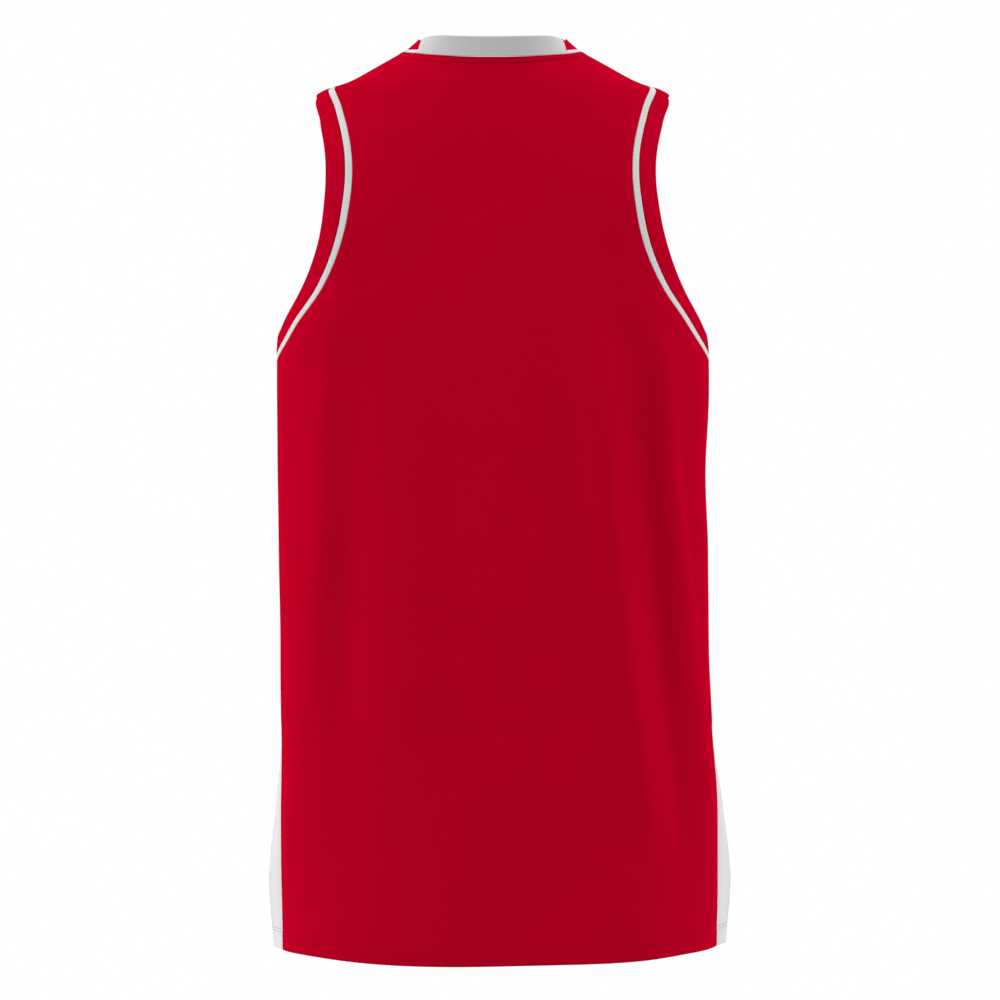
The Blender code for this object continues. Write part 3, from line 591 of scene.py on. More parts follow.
def way_along(points):
    """Distance gone at each point of a line, or down each column of a grid."""
    gone = np.linalg.norm(np.diff(points, axis=0), axis=-1)
    return np.concatenate([0 * gone[:1], np.cumsum(gone, axis=0)])


def evenly(places, part):
    """Places at shares of the length of a line of places."""
    way = way_along(form(places))
    return np.stack([np.interp(part * way[-1], way, places[:, k]) for k in (0, 1)], axis=-1)


def patch(top, bottom, left, right):
    """Places that fill the area between four lines, row by row from the top."""
    u = np.linspace(0, 1, len(top))[None, :, None]
    v = np.linspace(0, 1, len(left))[:, None, None]
    between = (1 - v) * top[None] + v * bottom[None] + (1 - u) * left[:, None] + u * right[:, None]
    corners = (1 - v) * ((1 - u) * top[0] + u * top[-1]) + v * ((1 - u) * bottom[0] + u * bottom[-1])
    return between - corners


def neck_height(angle):
    """Height of the body panels' neck edge at an angle."""
    turns = np.linspace(-np.pi, np.pi, LOOP_POINTS, endpoint=False)
    edge = loop_moved(neck_place(turns), SEAM_GAP / 2, -1)
    return np.interp(angle, edge[:, 0], edge[:, 1], period=2 * np.pi)


def off_seam(name, side, away):
    """A measure that is 0 on the edge that a side seam gives a panel, half a gap from the seam."""

    def measure(place):
        edge = side_seam(name, place[:, 1]) * side + side * away * turn_for(place, SEAM_GAP / 2)
        return place[:, 0] - edge

    return measure


def side_edge(name, side, away, top, bottom, count):
    """Edge that a side seam gives a panel, from a height down to another, or to the hem if that is None."""
    low = HEM_LEVEL if bottom is None else bottom
    for _ in range(HEM_PASSES):
        height = np.linspace(top, low, count)
        place = np.stack([side_seam(name, height) * side, height], axis=-1)
        angle = place[:, 0] + side * away * turn_for(place, SEAM_GAP / 2)
        if bottom is None:
            low = hem_height(angle[-1])
    return np.stack([angle, height], axis=-1)


def down_edge(side, name, cells, at):
    """Edge of a body panel down the shoulder, armhole and side seam, at rows counted from the neck."""
    away = -1 if name == "back" else 1
    loop = loop_moved(armhole_seam(side), -SEAM_GAP / 2, side)
    shoulder = np.radians(SHOULDER_SEAM) * side
    half_gap = turn_for(np.array([shoulder, ARMHOLE[0][1]]), SEAM_GAP / 2)
    edge = shoulder + side * away * half_gap
    top = share_where(loop, lambda place: place[:, 0] - edge, TOP_SHARES)
    low = share_where(loop, off_seam(name, side, away), SEAM_SHARES[name])
    if name == "back":
        top = top - 1
    corner = cells["shoulder"]
    under = corner + cells["armhole"]
    over_arm = loop_at(loop, top + (low - top) * np.array([0.0, 1.0]))
    high = neck_height(over_arm[0, 0])
    rise = np.linspace(high - over_arm[0, 1], 0, SHOULDER_POINTS)
    line = over_arm[0] + np.array([0.0, 1.0]) * rise[:, None]
    seam = side_edge(name, side, away, over_arm[1, 1], None, BODY_EDGE_POINTS)
    part = np.clip((at - corner) / cells["armhole"], 0, 1)
    armhole = loop_at(loop, top + (low - top) * part**ARMHOLE_CLOSER)
    on_shoulder = evenly(line, np.clip(at / corner, 0, 1))
    on_seam = evenly(seam, np.clip((at - under) / cells["seam"], 0, 1))
    at = at[:, None]
    return np.where(at < corner, on_shoulder, np.where(at < under, armhole, on_seam))


def panel_edges(name, cells, down, across):
    """The four edges of the back or front panel: neck, hem, and the two edges down, in falling angle."""
    first = down_edge(1, name, cells, down)
    last = down_edge(-1, name, cells, down)
    if name == "front":
        first, last = last, first - np.array([2 * np.pi, 0.0])
    part = across / cells["across"]
    angle = np.linspace(first[0, 0], last[0, 0], LOOP_POINTS)
    neck = evenly(np.stack([angle, neck_height(angle)], axis=-1), part)
    angle = np.linspace(first[-1, 0], last[-1, 0], LOOP_POINTS)
    hem = evenly(np.stack([angle, hem_height(angle)], axis=-1), part)
    return neck, hem, first, last


def body_panel(name, cells):
    """Places of the back or front panel, row by row from the neck, in order of falling angle.

    The inner points are moved, pass by pass, to where rows and columns cross as squarely as they can.
    """
    rows = cells["shoulder"] + cells["armhole"] + cells["seam"]
    down = np.arange(rows + 1.0)
    across = np.arange(cells["across"] + 1.0)
    places = patch(*panel_edges(name, cells, down, across))
    inner = places[1:-1, 1:-1]
    for _ in range(RELAX_PASSES):
        point = form(places)
        across_by = (point[1:-1, 2:] - point[1:-1, :-2]) / 2
        down_by = (point[2:, 1:-1] - point[:-2, 1:-1]) / 2
        mixed = (point[2:, 2:] - point[2:, :-2] - point[:-2, 2:] + point[:-2, :-2]) / 4
        row_middle = (point[1:-1, 2:] + point[1:-1, :-2]) / 2
        column_middle = (point[2:, 1:-1] + point[:-2, 1:-1]) / 2
        for_row = (down_by * down_by).sum(-1, keepdims=True)
        for_column = (across_by * across_by).sum(-1, keepdims=True)
        skew = (across_by * down_by).sum(-1, keepdims=True)
        wanted = (for_row * row_middle + for_column * column_middle - skew * mixed) / (for_row + for_column)
        inner[:] = moved_on_form(inner, RELAX_STEP * (wanted - point[1:-1, 1:-1]))
    return places


def between_rows(values, at):
    """Rows of values read between whole row numbers, on a smooth curve through the rows."""
    slope = np.gradient(values, axis=0)
    cell = np.clip(np.floor(at).astype(int), 0, len(values) - 2)
    t = (at - cell).reshape((-1,) + (1,) * (values.ndim - 1))
    return curve(t, values[cell], values[cell + 1], slope[cell], slope[cell + 1])


def finer_panel(name, cells):
    """The places of a body panel with each cell parted, and its edges exactly on the seams."""
    coarse = body_panel(name, cells)
    rows, columns = coarse.shape[:2]
    down = np.linspace(0, rows - 1, (rows - 1) * FINER + 1)
    across = np.linspace(0, columns - 1, (columns - 1) * FINER + 1)
    fine = between_rows(between_rows(coarse, down).swapaxes(0, 1), across).swapaxes(0, 1)
    neck, hem, first, last = panel_edges(name, cells, down, across)
    return fine + patch(neck - fine[0], hem - fine[-1], first - fine[:, 0], last - fine[:, -1])


def reread(grid, start, kept, end, fill):
    """A grid of places with new rows: at distances from its first edge, kept ones, then from its last."""
    way = way_along(form(grid))
    own = np.arange(len(grid), dtype=float)
    wanted = []
    for column in range(grid.shape[1]):
        line = way[:, column]
        first = np.interp(start, line, own)
        last = np.interp(line[-1] - np.array(end[::-1]), line, own)
        middle = kept if len(kept) else np.array([first[-1], last[0]])
        before = np.linspace(first[-1], middle[0], fill[0] + 2)[1:-1]
        after = np.linspace(middle[-1], last[0], fill[1] + 2)[1:-1]
        wanted.append(np.concatenate([first, before, kept, after, last]))
    wanted = np.array(wanted).T
    cell = np.clip(wanted.astype(int), 0, len(grid) - 2)
    part = (wanted - cell)[..., None]
    column = np.arange(grid.shape[1])
    return grid[cell, column] * (1 - part) + grid[cell + 1, column] * part


def from_edges(count, start, end):
    """How far each line of a grid is from its first edge and its last, far away where no list says."""
    first = np.full(count, 1.0)
    last = np.full(count, 1.0)
    first[: len(start)] = start
    last[count - len(end) :] = end[::-1]
    return first, last


def rolled(distance, radius):
    """How far an edge that turns down on a radius has gone at a distance from the edge."""
    inside = np.clip(radius - distance, 0, radius)
    return radius - np.sqrt(radius**2 - inside**2)


def groove(distance, at):
    return GROOVE * np.exp(-(((distance - at) / GROOVE_WIDE) ** 2))


def within(distance, reach, fade):
    """1 nearer to an edge than a reach, less and less over the last part of it, and 0 beyond."""
    return np.clip((reach - distance) / fade, 0, 1)


def neck_relief(distance):
    """How the cloth below the neck seam stands out over its turned edge, and is pulled in by its stitches."""
    over = HEM_PUFF * np.clip(distance / NECK_STARTS, 0, 1) * within(distance, *NECK_TURNED)
    return over - groove(distance, NECK_STITCH)


def hem_relief(distance):
    """How the turned-up hem stands out and is pulled in by its two rows of stitches."""
    return HEM_PUFF * within(distance, *HEM_TURNED) - sum(groove(distance, at) for at in HEM_STITCHES)


def hem_lean(distance, place):
    """How far the turned-up hem leans in, most in the middle of a panel."""
    lean = HEM_LEAN * np.clip(HEM_STITCHES[0] - distance, 0, 1)
    return lean[:, None] * np.cos(place[..., 0]) ** 4


def pucker(place):
    """How strongly the stitches pull, from 0.75 to 1.25."""
    return 1 + sum(np.sin(waves * place[..., 0] + start) for waves, start in PUCKERS) / 12


def both_faces(surface, places, drop, lift, wall):
    """Points of the outer and inner face of a shell, and its outward directions.

    The outer face is let down by drop and the inner one raised by lift, both 0 away from the edges.
    """
    normal = outward(places, surface)
    middle = surface(places)
    return middle - normal * drop[..., None], middle - normal * (wall - lift)[..., None], normal


def flat_of(place, centre):
    """Flat coordinates of places in metres: sideways from a centre line, and down the cloth."""
    origin = (centre, HEM_LEVEL)
    run = [0, 0]
    for k in range(FLAT_STEPS):
        for axis in (0, 1):
            at = place.copy()
            at[..., axis] = origin[axis] + (place[..., axis] - origin[axis]) * (k + 0.5) / FLAT_STEPS
            run[axis] = run[axis] + np.linalg.norm(directions(at)[axis], axis=-1) / FLAT_STEPS
    return np.stack([run[axis] * (place[..., axis] - origin[axis]) for axis in (0, 1)], axis=-1)


def strip_flat(points):
    """Flat coordinates along and across a strip's grid of points."""
    along = np.linalg.norm(np.diff(points, axis=1), axis=-1).mean(axis=0)
    across = np.linalg.norm(np.diff(points, axis=0), axis=-1).mean(axis=1)
    u = np.concatenate([[0.0], np.cumsum(along)])
    v = np.concatenate([[0.0], np.cumsum(across)])
    return np.stack(np.meshgrid(u, v), axis=-1)


def add_mesh(name, points, faces, material):
    mesh = bpy.data.meshes.new(name)
    mesh.from_pydata(points, [], faces)
    mesh.materials.append(material)
    mesh.shade_smooth()
    made = bpy.data.objects.new(name, mesh)
    bpy.context.scene.collection.objects.link(made)
    return made


def shell(name, outer, inner, flat, material, ring=False, slit=None):
    """A closed shell of cloth from rows of points on its two faces, with its knit's flat coordinates.

    A ring's last column joins its first, and its flat coordinates have one column more. A slit parts
    two columns below a row: (first of the two columns, row).
    """
    rows, columns = outer.shape[:2]
    count = rows * columns
    index = np.arange(count).reshape(rows, columns)
    if slit:
        index[: slit[1] + 1, slit[0] + 1] = index[: slit[1] + 1, slit[0]]
    around = np.concatenate([index, index[:, :1]], axis=1) if ring else index
    wide = around.shape[1]
    on_flat = np.arange(rows * wide).reshape(rows, wide)
    used = [k for k in range(wide - 1) if not slit or k != slit[0]]
    after = [k + 1 for k in used]

    def cells_of(grid):
        corners = [grid[:-1][:, used], grid[1:][:, used], grid[1:][:, after], grid[:-1][:, after]]
        return np.stack(corners, axis=-1).reshape(-1, 4)

    cells = cells_of(around)
    cell_flat = cells_of(on_flat)
    edges = np.stack([cells, np.roll(cells, -1, axis=1)], axis=-1).reshape(-1, 2)
    edge_flat = np.stack([cell_flat, np.roll(cell_flat, -1, axis=1)], axis=-1).reshape(-1, 2)
    open_edges = ~np.isin(edges[:, 0] * count + edges[:, 1], edges[:, 1] * count + edges[:, 0])
    a, b = edges[open_edges].T
    fa, fb = edge_flat[open_edges].T
    rims = np.stack([b, a, a + count, b + count], axis=-1)
    faces = np.concatenate([cells, cells[:, ::-1] + count, rims])
    corners = np.concatenate([cell_flat, cell_flat[:, ::-1], np.stack([fb, fa, fa, fb], axis=-1)])
    points = np.concatenate([outer.reshape(-1, 3), inner.reshape(-1, 3)])
    used_points, faces = np.unique(faces, return_inverse=True)
    faces = faces.reshape(-1, 4)
    piece = add_mesh(name, points[used_points].tolist(), faces.tolist(), material)
    layer = piece.data.uv_layers.new(name="Knit")
    layer.data.foreach_set("uv", flat.reshape(-1, 2)[corners.ravel()].ravel())
    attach(piece, "root")
    return piece


def stand_for(node):
    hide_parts(node)


def cut_of(outer):
    """Width at the widest row, length down the middling column and area of a grid of points."""
    across = way_along(outer.swapaxes(0, 1))[-1]
    down = way_along(outer)[-1]
    one = outer[1:, 1:] - outer[:-1, :-1]
    other = outer[1:, :-1] - outer[:-1, 1:]
    area = np.linalg.norm(np.cross(one, other), axis=-1).sum() / 2
    return float(across.max()), float(np.median(down)), float(area)


def declare_cloth(piece, outer, held, sewn_on=()):
    width, length, area = cut_of(outer)
    area = min(max(area, 0.301 * width * length), width * length)


def sewing(name, lines, colour_name, look):
    """Rows of stitches, each stitch a short bowed piece of thread whose ends go into the cloth.

    Each line is its points and outward directions.
    """
    rings = len(THREAD_TAPER)
    part = np.linspace(0, 1, rings)
    bow = look.thread * (THREAD_ARCH * np.sin(np.pi * part) - THREAD_SUNK)
    thick = look.thread / 2 * np.array(THREAD_TAPER)
    turn = np.linspace(0, 2 * np.pi, THREAD_SIDES, endpoint=False)[None, :, None]
    points = []
    faces = []
    for line, normals in lines:
        way = way_along(line)
        for start in np.arange(look.pitch * STITCH_START, way[-1] - look.stitch, look.pitch):
            at = start + look.stitch * part
            middle = np.stack([np.interp(at, way, line[:, k]) for k in range(3)], axis=-1)
            out = unit(np.stack([np.interp(at, way, normals[:, k]) for k in range(3)], axis=-1))
            middle = middle + out * bow[:, None]
            sideways = np.cross(unit(middle[-1] - middle[0]), out)
            offset = np.cos(turn) * out[:, None] + np.sin(turn) * sideways[:, None]
            first = THREAD_SIDES * rings * len(points)
            points.append((middle[:, None] + offset * thick[:, None, None]).reshape(-1, 3))
            for near in range(first, first + THREAD_SIDES * (rings - 1), THREAD_SIDES):
                for side in range(THREAD_SIDES):
                    a = near + side
                    b = near + (side + 1) % THREAD_SIDES
                    faces.append((a, b, b + THREAD_SIDES, a + THREAD_SIDES))
            faces.append(tuple(range(first + THREAD_SIDES - 1, first - 1, -1)))
            faces.append(tuple(range(near + THREAD_SIDES, near + 2 * THREAD_SIDES)))
    piece = add_mesh(name, np.concatenate(points).tolist(), faces, thread_material(colour_name, look))
    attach(piece, "root")
    return piece


def panel_grid(name, cells):
    """Places of a body panel, with lines at its sewing and rolled edges."""
    rows = cells["shoulder"] + cells["armhole"] + cells["seam"]
    fine = finer_panel(name, cells)
    kept = np.arange(FINER, (rows - 2) * FINER + 1, KEEP_EACH)
    grid = reread(fine, NECK_LINES, kept, HEM_LINES, BODY_FILL["down"])
    kept = np.arange(FINER, (cells["across"] - 1) * FINER + 1, KEEP_EACH)
    return reread(grid.swapaxes(0, 1), SEAM_LINES, kept, SEAM_LINES, BODY_FILL["across"]).swapaxes(0, 1)


def hem_wall(distance):
    """The wall at distances from the hem's edge: double below where it is turned up."""
    return KNIT_WALL + (HEM_DOUBLE - KNIT_WALL) * within(distance, *HEM_INSIDE)


def hem_row(rows, at):
    """The row of a grid that is a distance from the hem's edge."""
    return rows - 1 - HEM_LINES.index(at)


def seam_roll(lines):
    """How far the first and last of a number of lines, at a seam on both sides, turn down."""
    first, last = from_edges(lines, SEAM_LINES, SEAM_LINES)
    return rolled(np.minimum(first, last), SEAM_ROLL)


def build_body(look):
    for name, cells, centre in (("back", BACK_CELLS, 0.0), ("front", FRONT_CELLS, -np.pi)):
        grid = panel_grid(name, cells)
        rows, columns = grid.shape[:2]
        from_neck, from_hem = from_edges(rows, NECK_LINES, HEM_LINES)
        at_hem = rolled(from_hem, HEM_DOUBLE / 2)
        drop = np.maximum(np.maximum(rolled(from_neck, SEAM_ROLL), at_hem)[:, None], seam_roll(columns))
        lift = np.repeat(at_hem[:, None], columns, axis=1)
        relief = (neck_relief(from_neck) + hem_relief(from_hem))[:, None] * pucker(grid)
        relief = relief - hem_lean(from_hem, grid)
        wall = np.repeat(hem_wall(from_hem)[:, None], columns, axis=1)
        outer, inner, normal = both_faces(cloth, grid, drop - relief, lift + relief, wall)
        piece = shell(name + "_cloth", outer, inner, flat_of(grid, centre), knit_material("red", look))
        stand_for(name + "_panel")
        lines = [list(from_neck).index(NECK_STITCH)]
        lines += [hem_row(rows, at) for at in HEM_STITCHES]
        threads = sewing(name + "_sewing", [(outer[k], normal[k]) for k in lines], "red", look)
        declare_cloth(piece, outer, "hung", [threads])


def side_grid(side, top, bottom, rows):
    """Places of one section of a side panel, densely spaced. A top of None follows the armhole."""
    loop = loop_moved(armhole_seam(side), -SEAM_GAP / 2, side)
    low = None if bottom is None else bottom + SEAM_GAP / 2
    down = np.linspace(0, 1, rows)
    part = np.linspace(0, 1, SIDE_COLUMNS)
    edges = []
    shares = []
    for name, away in (("front", -1), ("back", 1)):
        share = share_where(loop, off_seam(name, side, away), SEAM_SHARES[name])
        high = loop_at(loop, share)[1] if top is None else top - SEAM_GAP / 2
        edges.append(evenly(side_edge(name, side, away, high, low, SIDE_EDGE_POINTS), down))
        shares.append(share)
    if side < 0:
        edges.reverse()
        shares.reverse()
    first, last = edges
    over = first[0] + (last[0] - first[0]) * part[:, None]
    under = first[-1] + (last[-1] - first[-1]) * part[:, None]
    if top is None:
        over = loop_at(loop, shares[0] + (shares[1] - shares[0]) * part)
    if bottom is None:
        under[:, 1] = hem_height(under[:, 0])
    return patch(over, under, first, last)


def build_sides(look):
    sections = (
        ("top", None, SIDE_UPPER_LEVEL, "white"),
        ("middle", SIDE_UPPER_LEVEL, SIDE_LOWER_LEVEL, "red"),
        ("low", SIDE_LOWER_LEVEL, None, "white"),
    )
    middle = SIDE_COLUMNS // 2
    kept = np.arange(2 + SIDE_KEEP_EACH, SIDE_COLUMNS - 2 - SIDE_KEEP_EACH, SIDE_KEEP_EACH)
    none = np.array([])
    for side, word in ((1, "left"), (-1, "right")):
        for name, top, bottom, colour in sections:
            rows = SIDE_ROWS[name]
            end = HEM_LINES if bottom is None else SEAM_LINES
            dense = side_grid(side, top, bottom, rows + 1)
            down = np.arange(2, rows - SIDE_LAST_KEPT[name])
            across = reread(dense, SEAM_LINES, down, end, SIDE_FILL["down"]).swapaxes(0, 1)
            if bottom is not None:
                grid = reread(across, SEAM_LINES, kept, SEAM_LINES, SIDE_FILL["across"]).swapaxes(0, 1)
                build_side(grid, name, word, colour, look)
                continue
            one = reread(across[: middle + 1], SEAM_LINES, none, VENT_LINES, (VENT_FILL, 0))
            other = reread(across[middle:], VENT_LINES, none, SEAM_LINES, (0, VENT_FILL))
            build_vented(np.concatenate([one, other]).swapaxes(0, 1), len(one), word, look)


def build_side(grid, name, word, colour, look):
    """The upper or middle section of a side panel, sewn on all sides."""
    rows, columns = grid.shape[:2]
    drop = np.maximum(seam_roll(rows)[:, None], seam_roll(columns))
    outer, inner, _ = both_faces(cloth, grid, drop, 0 * drop, KNIT_WALL)
    flat = flat_of(grid, grid[0, columns // 2, 0])
    piece = shell("side_%s_cloth_%s" % (name, word), outer, inner, flat, knit_material(colour, look))
    stand_for("side_%s_%s" % (name, word))
    declare_cloth(piece, outer, "hung")


def build_vented(grid, parted, word, look):
    """The low section of a side panel, with its vent, hem and their sewing."""
    rows, columns = grid.shape[:2]
    from_top, from_hem = from_edges(rows, SEAM_LINES, HEM_LINES)
    from_vent = np.full(columns, 1.0)
    from_vent[parted - len(VENT_LINES) : parted] = VENT_LINES[::-1]
    from_vent[parted : parted + len(VENT_LINES)] = VENT_LINES
    level = grid[:, parted, 1]
    opened = np.clip((VENT_TOP - level) / (VENT_TOP - level[-1]), 0, 1)
    from_row = int(np.nonzero(opened == 0)[0][-1])
    apart = opened[:, None] * np.clip(1 - from_vent / VENT_PULL, 0, 1) ** 2 * VENT_GAP / 2
    away = np.where(np.arange(columns) < parted, 1.0, -1.0)
    grid = grid.copy()
    grid[..., 0] += turn_for(grid, apart * away)
    at_hem = rolled(from_hem, HEM_DOUBLE / 2)[:, None]
    below_top = np.clip((level[from_row] - level) / VENT_ROUND, 0, 1)
    nose = np.maximum(at_hem, rolled(from_vent, HEM_DOUBLE / 2) * below_top[:, None])
    at_seams = np.maximum(seam_roll(columns), rolled(from_top, SEAM_ROLL)[:, None])
    turned = within(level, VENT_TOP + VENT_TURN[0], VENT_TURN[1])[:, None]
    vent_relief = (HEM_PUFF * within(from_vent, *VENT_TURNED) - groove(from_vent, VENT_STITCH)) * turned
    over_hem = from_hem[:, None] > HEM_STITCHES[1]
    relief = (hem_relief(from_hem)[:, None] + np.where(over_hem, vent_relief, 0)) * pucker(grid)
    doubled = within(from_vent, *VENT_INSIDE) * turned
    wall = np.maximum(hem_wall(from_hem)[:, None], KNIT_WALL + (HEM_DOUBLE - KNIT_WALL) * doubled)
    drop = np.maximum(nose, at_seams)
    outer, inner, normal = both_faces(cloth, grid, drop - relief, nose + relief, wall)
    flat = flat_of(grid, grid[0, parted, 0])
    slit = (parted - 1, from_row)
    piece = shell("side_low_cloth_" + word, outer, inner, flat, knit_material("white", look), slit=slit)
    stand_for("side_low_" + word)
    start = int(np.nonzero(level < VENT_TOP + VENT_BAR)[0][0])
    stop = hem_row(rows, HEM_STITCHES[1])
    stitched = VENT_LINES.index(VENT_STITCH)
    first, last = parted - 1 - stitched, parted + stitched
    places = [(hem_row(rows, at), slice(None)) for at in HEM_STITCHES]
    places += [(slice(start, stop), first), (slice(start, stop), last), (start, slice(first, last + 1))]
    # The hem and vent stitches on the white panels are painted grey: painted shade of their grooves, on
    # thread of the cloth's own white
    threads = sewing("side_sewing_" + word, [(outer[at], normal[at]) for at in places], "grey", look)
    declare_cloth(piece, outer, "hung", [threads])


def ring_grid(side, near, far, near_lines, middle, far_lines):
    """Places of a strip round an armhole, and how far each row is from its two edges."""
    seam = armhole_seam(side)
    own = np.arange(len(seam)) / len(seam)
    grown = 1 - np.exp(-((np.minimum(own, 1 - own) / ARM_BAND_GROWS) ** 2))
    far_edge = far(grown)
    away = [near + at + 0 * far_edge for at in near_lines]
    away += [near + (far_edge - near) * part for part in middle]
    away += [far_edge - at for at in far_lines[::-1]]
    shares = np.arange(RING_POINTS) / RING_POINTS
    rows = []
    for distance in away:
        line = loop_at(loop_moved(seam, distance, side), shares)
        rows.append(line if side > 0 else line[::-1])
    from_near, from_far = from_edges(len(rows), near_lines, far_lines)
    return np.array(rows), from_near, from_far


def crowned(rows, size):
    """How far each row of a strip stands out, most in the middle."""
    return size * np.sin(np.linspace(0, np.pi, rows)) ** CROWN_BEND


def band_edge(grown):
    """Distance of the arm band's free edge from the armhole seam, where the band has grown by a share."""
    return ARM_PIPING + ARM_BAND_AT_SHOULDER + (ARM_BAND - ARM_BAND_AT_SHOULDER) * grown


def piping_edge(grown):
    """Distance of the piping's far edge from the armhole seam, the same all round."""
    return np.full(grown.shape, ARM_PIPING - SEAM_GAP / 2)


def build_strip(piece_name, node, surface, places, edges, free, crown, colour, look, ring=False):
    """One strip of trim. Returns the piece and its outer points.

    Edges are how far each row is from the seam and from the far edge, which is free or sewn. The ends
    of a strip are sewn, and a ring has none.
    """
    from_seam, from_far = edges
    rows, columns = places.shape[:2]
    nose = rolled(from_far, TRIM_DOUBLE / 2) if free else 0 * from_far
    far = nose if free else rolled(from_far, SEAM_ROLL)
    ends = np.zeros(columns) if ring else seam_roll(columns)
    drop = np.maximum(np.maximum(rolled(from_seam, SEAM_ROLL), far)[:, None], ends)
    lift = np.repeat(nose[:, None], columns, axis=1)
    drop = drop - crowned(rows, crown)[:, None]
    outer, inner, _ = both_faces(surface, places, drop, lift, TRIM_DOUBLE)
    closed = np.concatenate([outer, outer[:, :1]], axis=1) if ring else outer
    piece = shell(piece_name, outer, inner, strip_flat(closed), knit_material(colour, look), ring=ring)
    stand_for(node)
    return piece, closed


def build_armholes(look):
    near = SEAM_GAP / 2
    strips = (
        ("piping", near, piping_edge, PIPING_ROWS, SEAM_LINES, PIPING_CROWN, "white"),
        ("band", ARM_PIPING + near, band_edge, BAND_ROWS, FREE_LINES, BAND_CROWN, "red"),
    )
    for side, word in ((1, "left"), (-1, "right")):
        made = {}
        for kind, start, far, middle, far_lines, crown, colour in strips:
            grid, *edges = ring_grid(side, start, far, SEAM_LINES, middle, far_lines)
            names = ("armhole_%s_cloth_%s" % (kind, word), "armhole_%s_%s" % (kind, word))
            free = far_lines is FREE_LINES
            made[kind] = build_strip(*names, cloth, grid, edges, free, crown, colour, look, ring=True)
        declare_cloth(*made["band"], "stretched", [made["piping"][0]])


def neck_points(turn_and_rise):
    """Points of the neck trim, each from a turn round the neck and a distance up from the neck seam."""
    turn = turn_and_rise[..., 0]
    rise = turn_and_rise[..., 1]
    place = neck_place(turn)
    tangent = unit(form(neck_place(turn + TINY)) - form(neck_place(turn - TINY)))
    out = outward(place)
    up = np.cross(tangent, out)
    lean = NECK_LEAN * np.clip(np.cos(turn), 0, 1) ** NECK_LEAN_BEND + NECK_SIDE_LEAN * np.sin(turn) ** 2
    lean = np.radians(lean)[..., None]
    way = up * np.cos(lean) + out * np.sin(lean)
    curl = NECK_CURL * (rise / NECK_TRIM) * (rise / NECK_TRIM - 1)
    return cloth(place) + way * rise[..., None] + np.cross(way, tangent) * curl[..., None]


def insert_end(rise):
    """The turn round the neck of the insert's slanted end, at a height up the trim."""
    return np.radians(INSERT_END_LOW + (INSERT_END_TOP - INSERT_END_LOW) * rise / NECK_TRIM)


def insert_grid(rises):
    """Turns and rises of the insert at the back of the neck, between its slanted ends."""
    near_end = 1 - np.array(SEAM_LINES) / (NECK_HALF * np.radians(INSERT_END_LOW))
    inside = np.linspace(near_end[-1], -near_end[-1], NECK_POINTS)[1:-1]
    part = np.concatenate([near_end, inside, -near_end[::-1]])
    rows = []
    for rise in rises:
        turn = part * (insert_end(rise) - NECK_END_GAP)
        rows.append(np.stack([turn, np.full(len(part), rise)], axis=-1))
    return np.array(rows)


def front_grid(rises):
    """Turns and rises of a strip of the neck trim from one slanted end round the front to the other."""
    low_end = insert_end(rises[-1]) + NECK_END_GAP
    from_end = np.array(SEAM_LINES) / NECK_HALF
    half = np.concatenate([from_end, np.linspace(from_end[-1], np.pi - low_end, NECK_POINTS)[1:]])
    turns = np.concatenate([-low_end - half, low_end - 2 * np.pi + half[-2::-1]])
    shoulder = np.radians(SHOULDER_SEAM)
    from_shoulder = shoulder - np.abs((turns + np.pi) % (2 * np.pi) - np.pi)
    slant = np.clip(from_shoulder / (shoulder - low_end), 0, 1) * np.where(turns < -np.pi, 1, -1)
    rows = []
    for rise in rises:
        turn = turns + slant * (insert_end(rise) + NECK_END_GAP - low_end)
        rows.append(np.stack([turn, np.full(len(turns), rise)], axis=-1))
    return np.array(rows)


def build_neck(look):
    near = SEAM_GAP / 2
    top_lines = [NECK_TRIM - at for at in FREE_LINES]
    jobs = (
        # The insert's colour is a darker copy of the white: painted shade
        ("neck_insert", insert_grid, top_lines, near, 7, "off_white"),
        ("neck_piping", front_grid, [NECK_PIPING - near - at for at in SEAM_LINES], near, 1, "white"),
        ("neck_band", front_grid, top_lines, NECK_PIPING + near, 5, "red"),
    )
    made = {}
    for name, grid_of, over, low, between, colour in jobs:
        under = [low + at for at in SEAM_LINES[::-1]]
        middle = np.linspace(over[-1], under[0], between + 2)[1:-1]
        rises = np.concatenate([over, middle, under])
        from_top = np.concatenate([over[0] - np.array(over), np.full(len(rises) - len(over), 1.0)])
        edges = (rises - low, from_top)
        strip = (neck_points, grid_of(rises), edges, over is top_lines, TRIM_CROWN, colour, look)
        made[name] = build_strip(name + "_cloth", name, *strip)
    declare_cloth(*made["neck_insert"], "stretched")
    declare_cloth(*made["neck_band"], "stretched", [made["neck_piping"][0]])


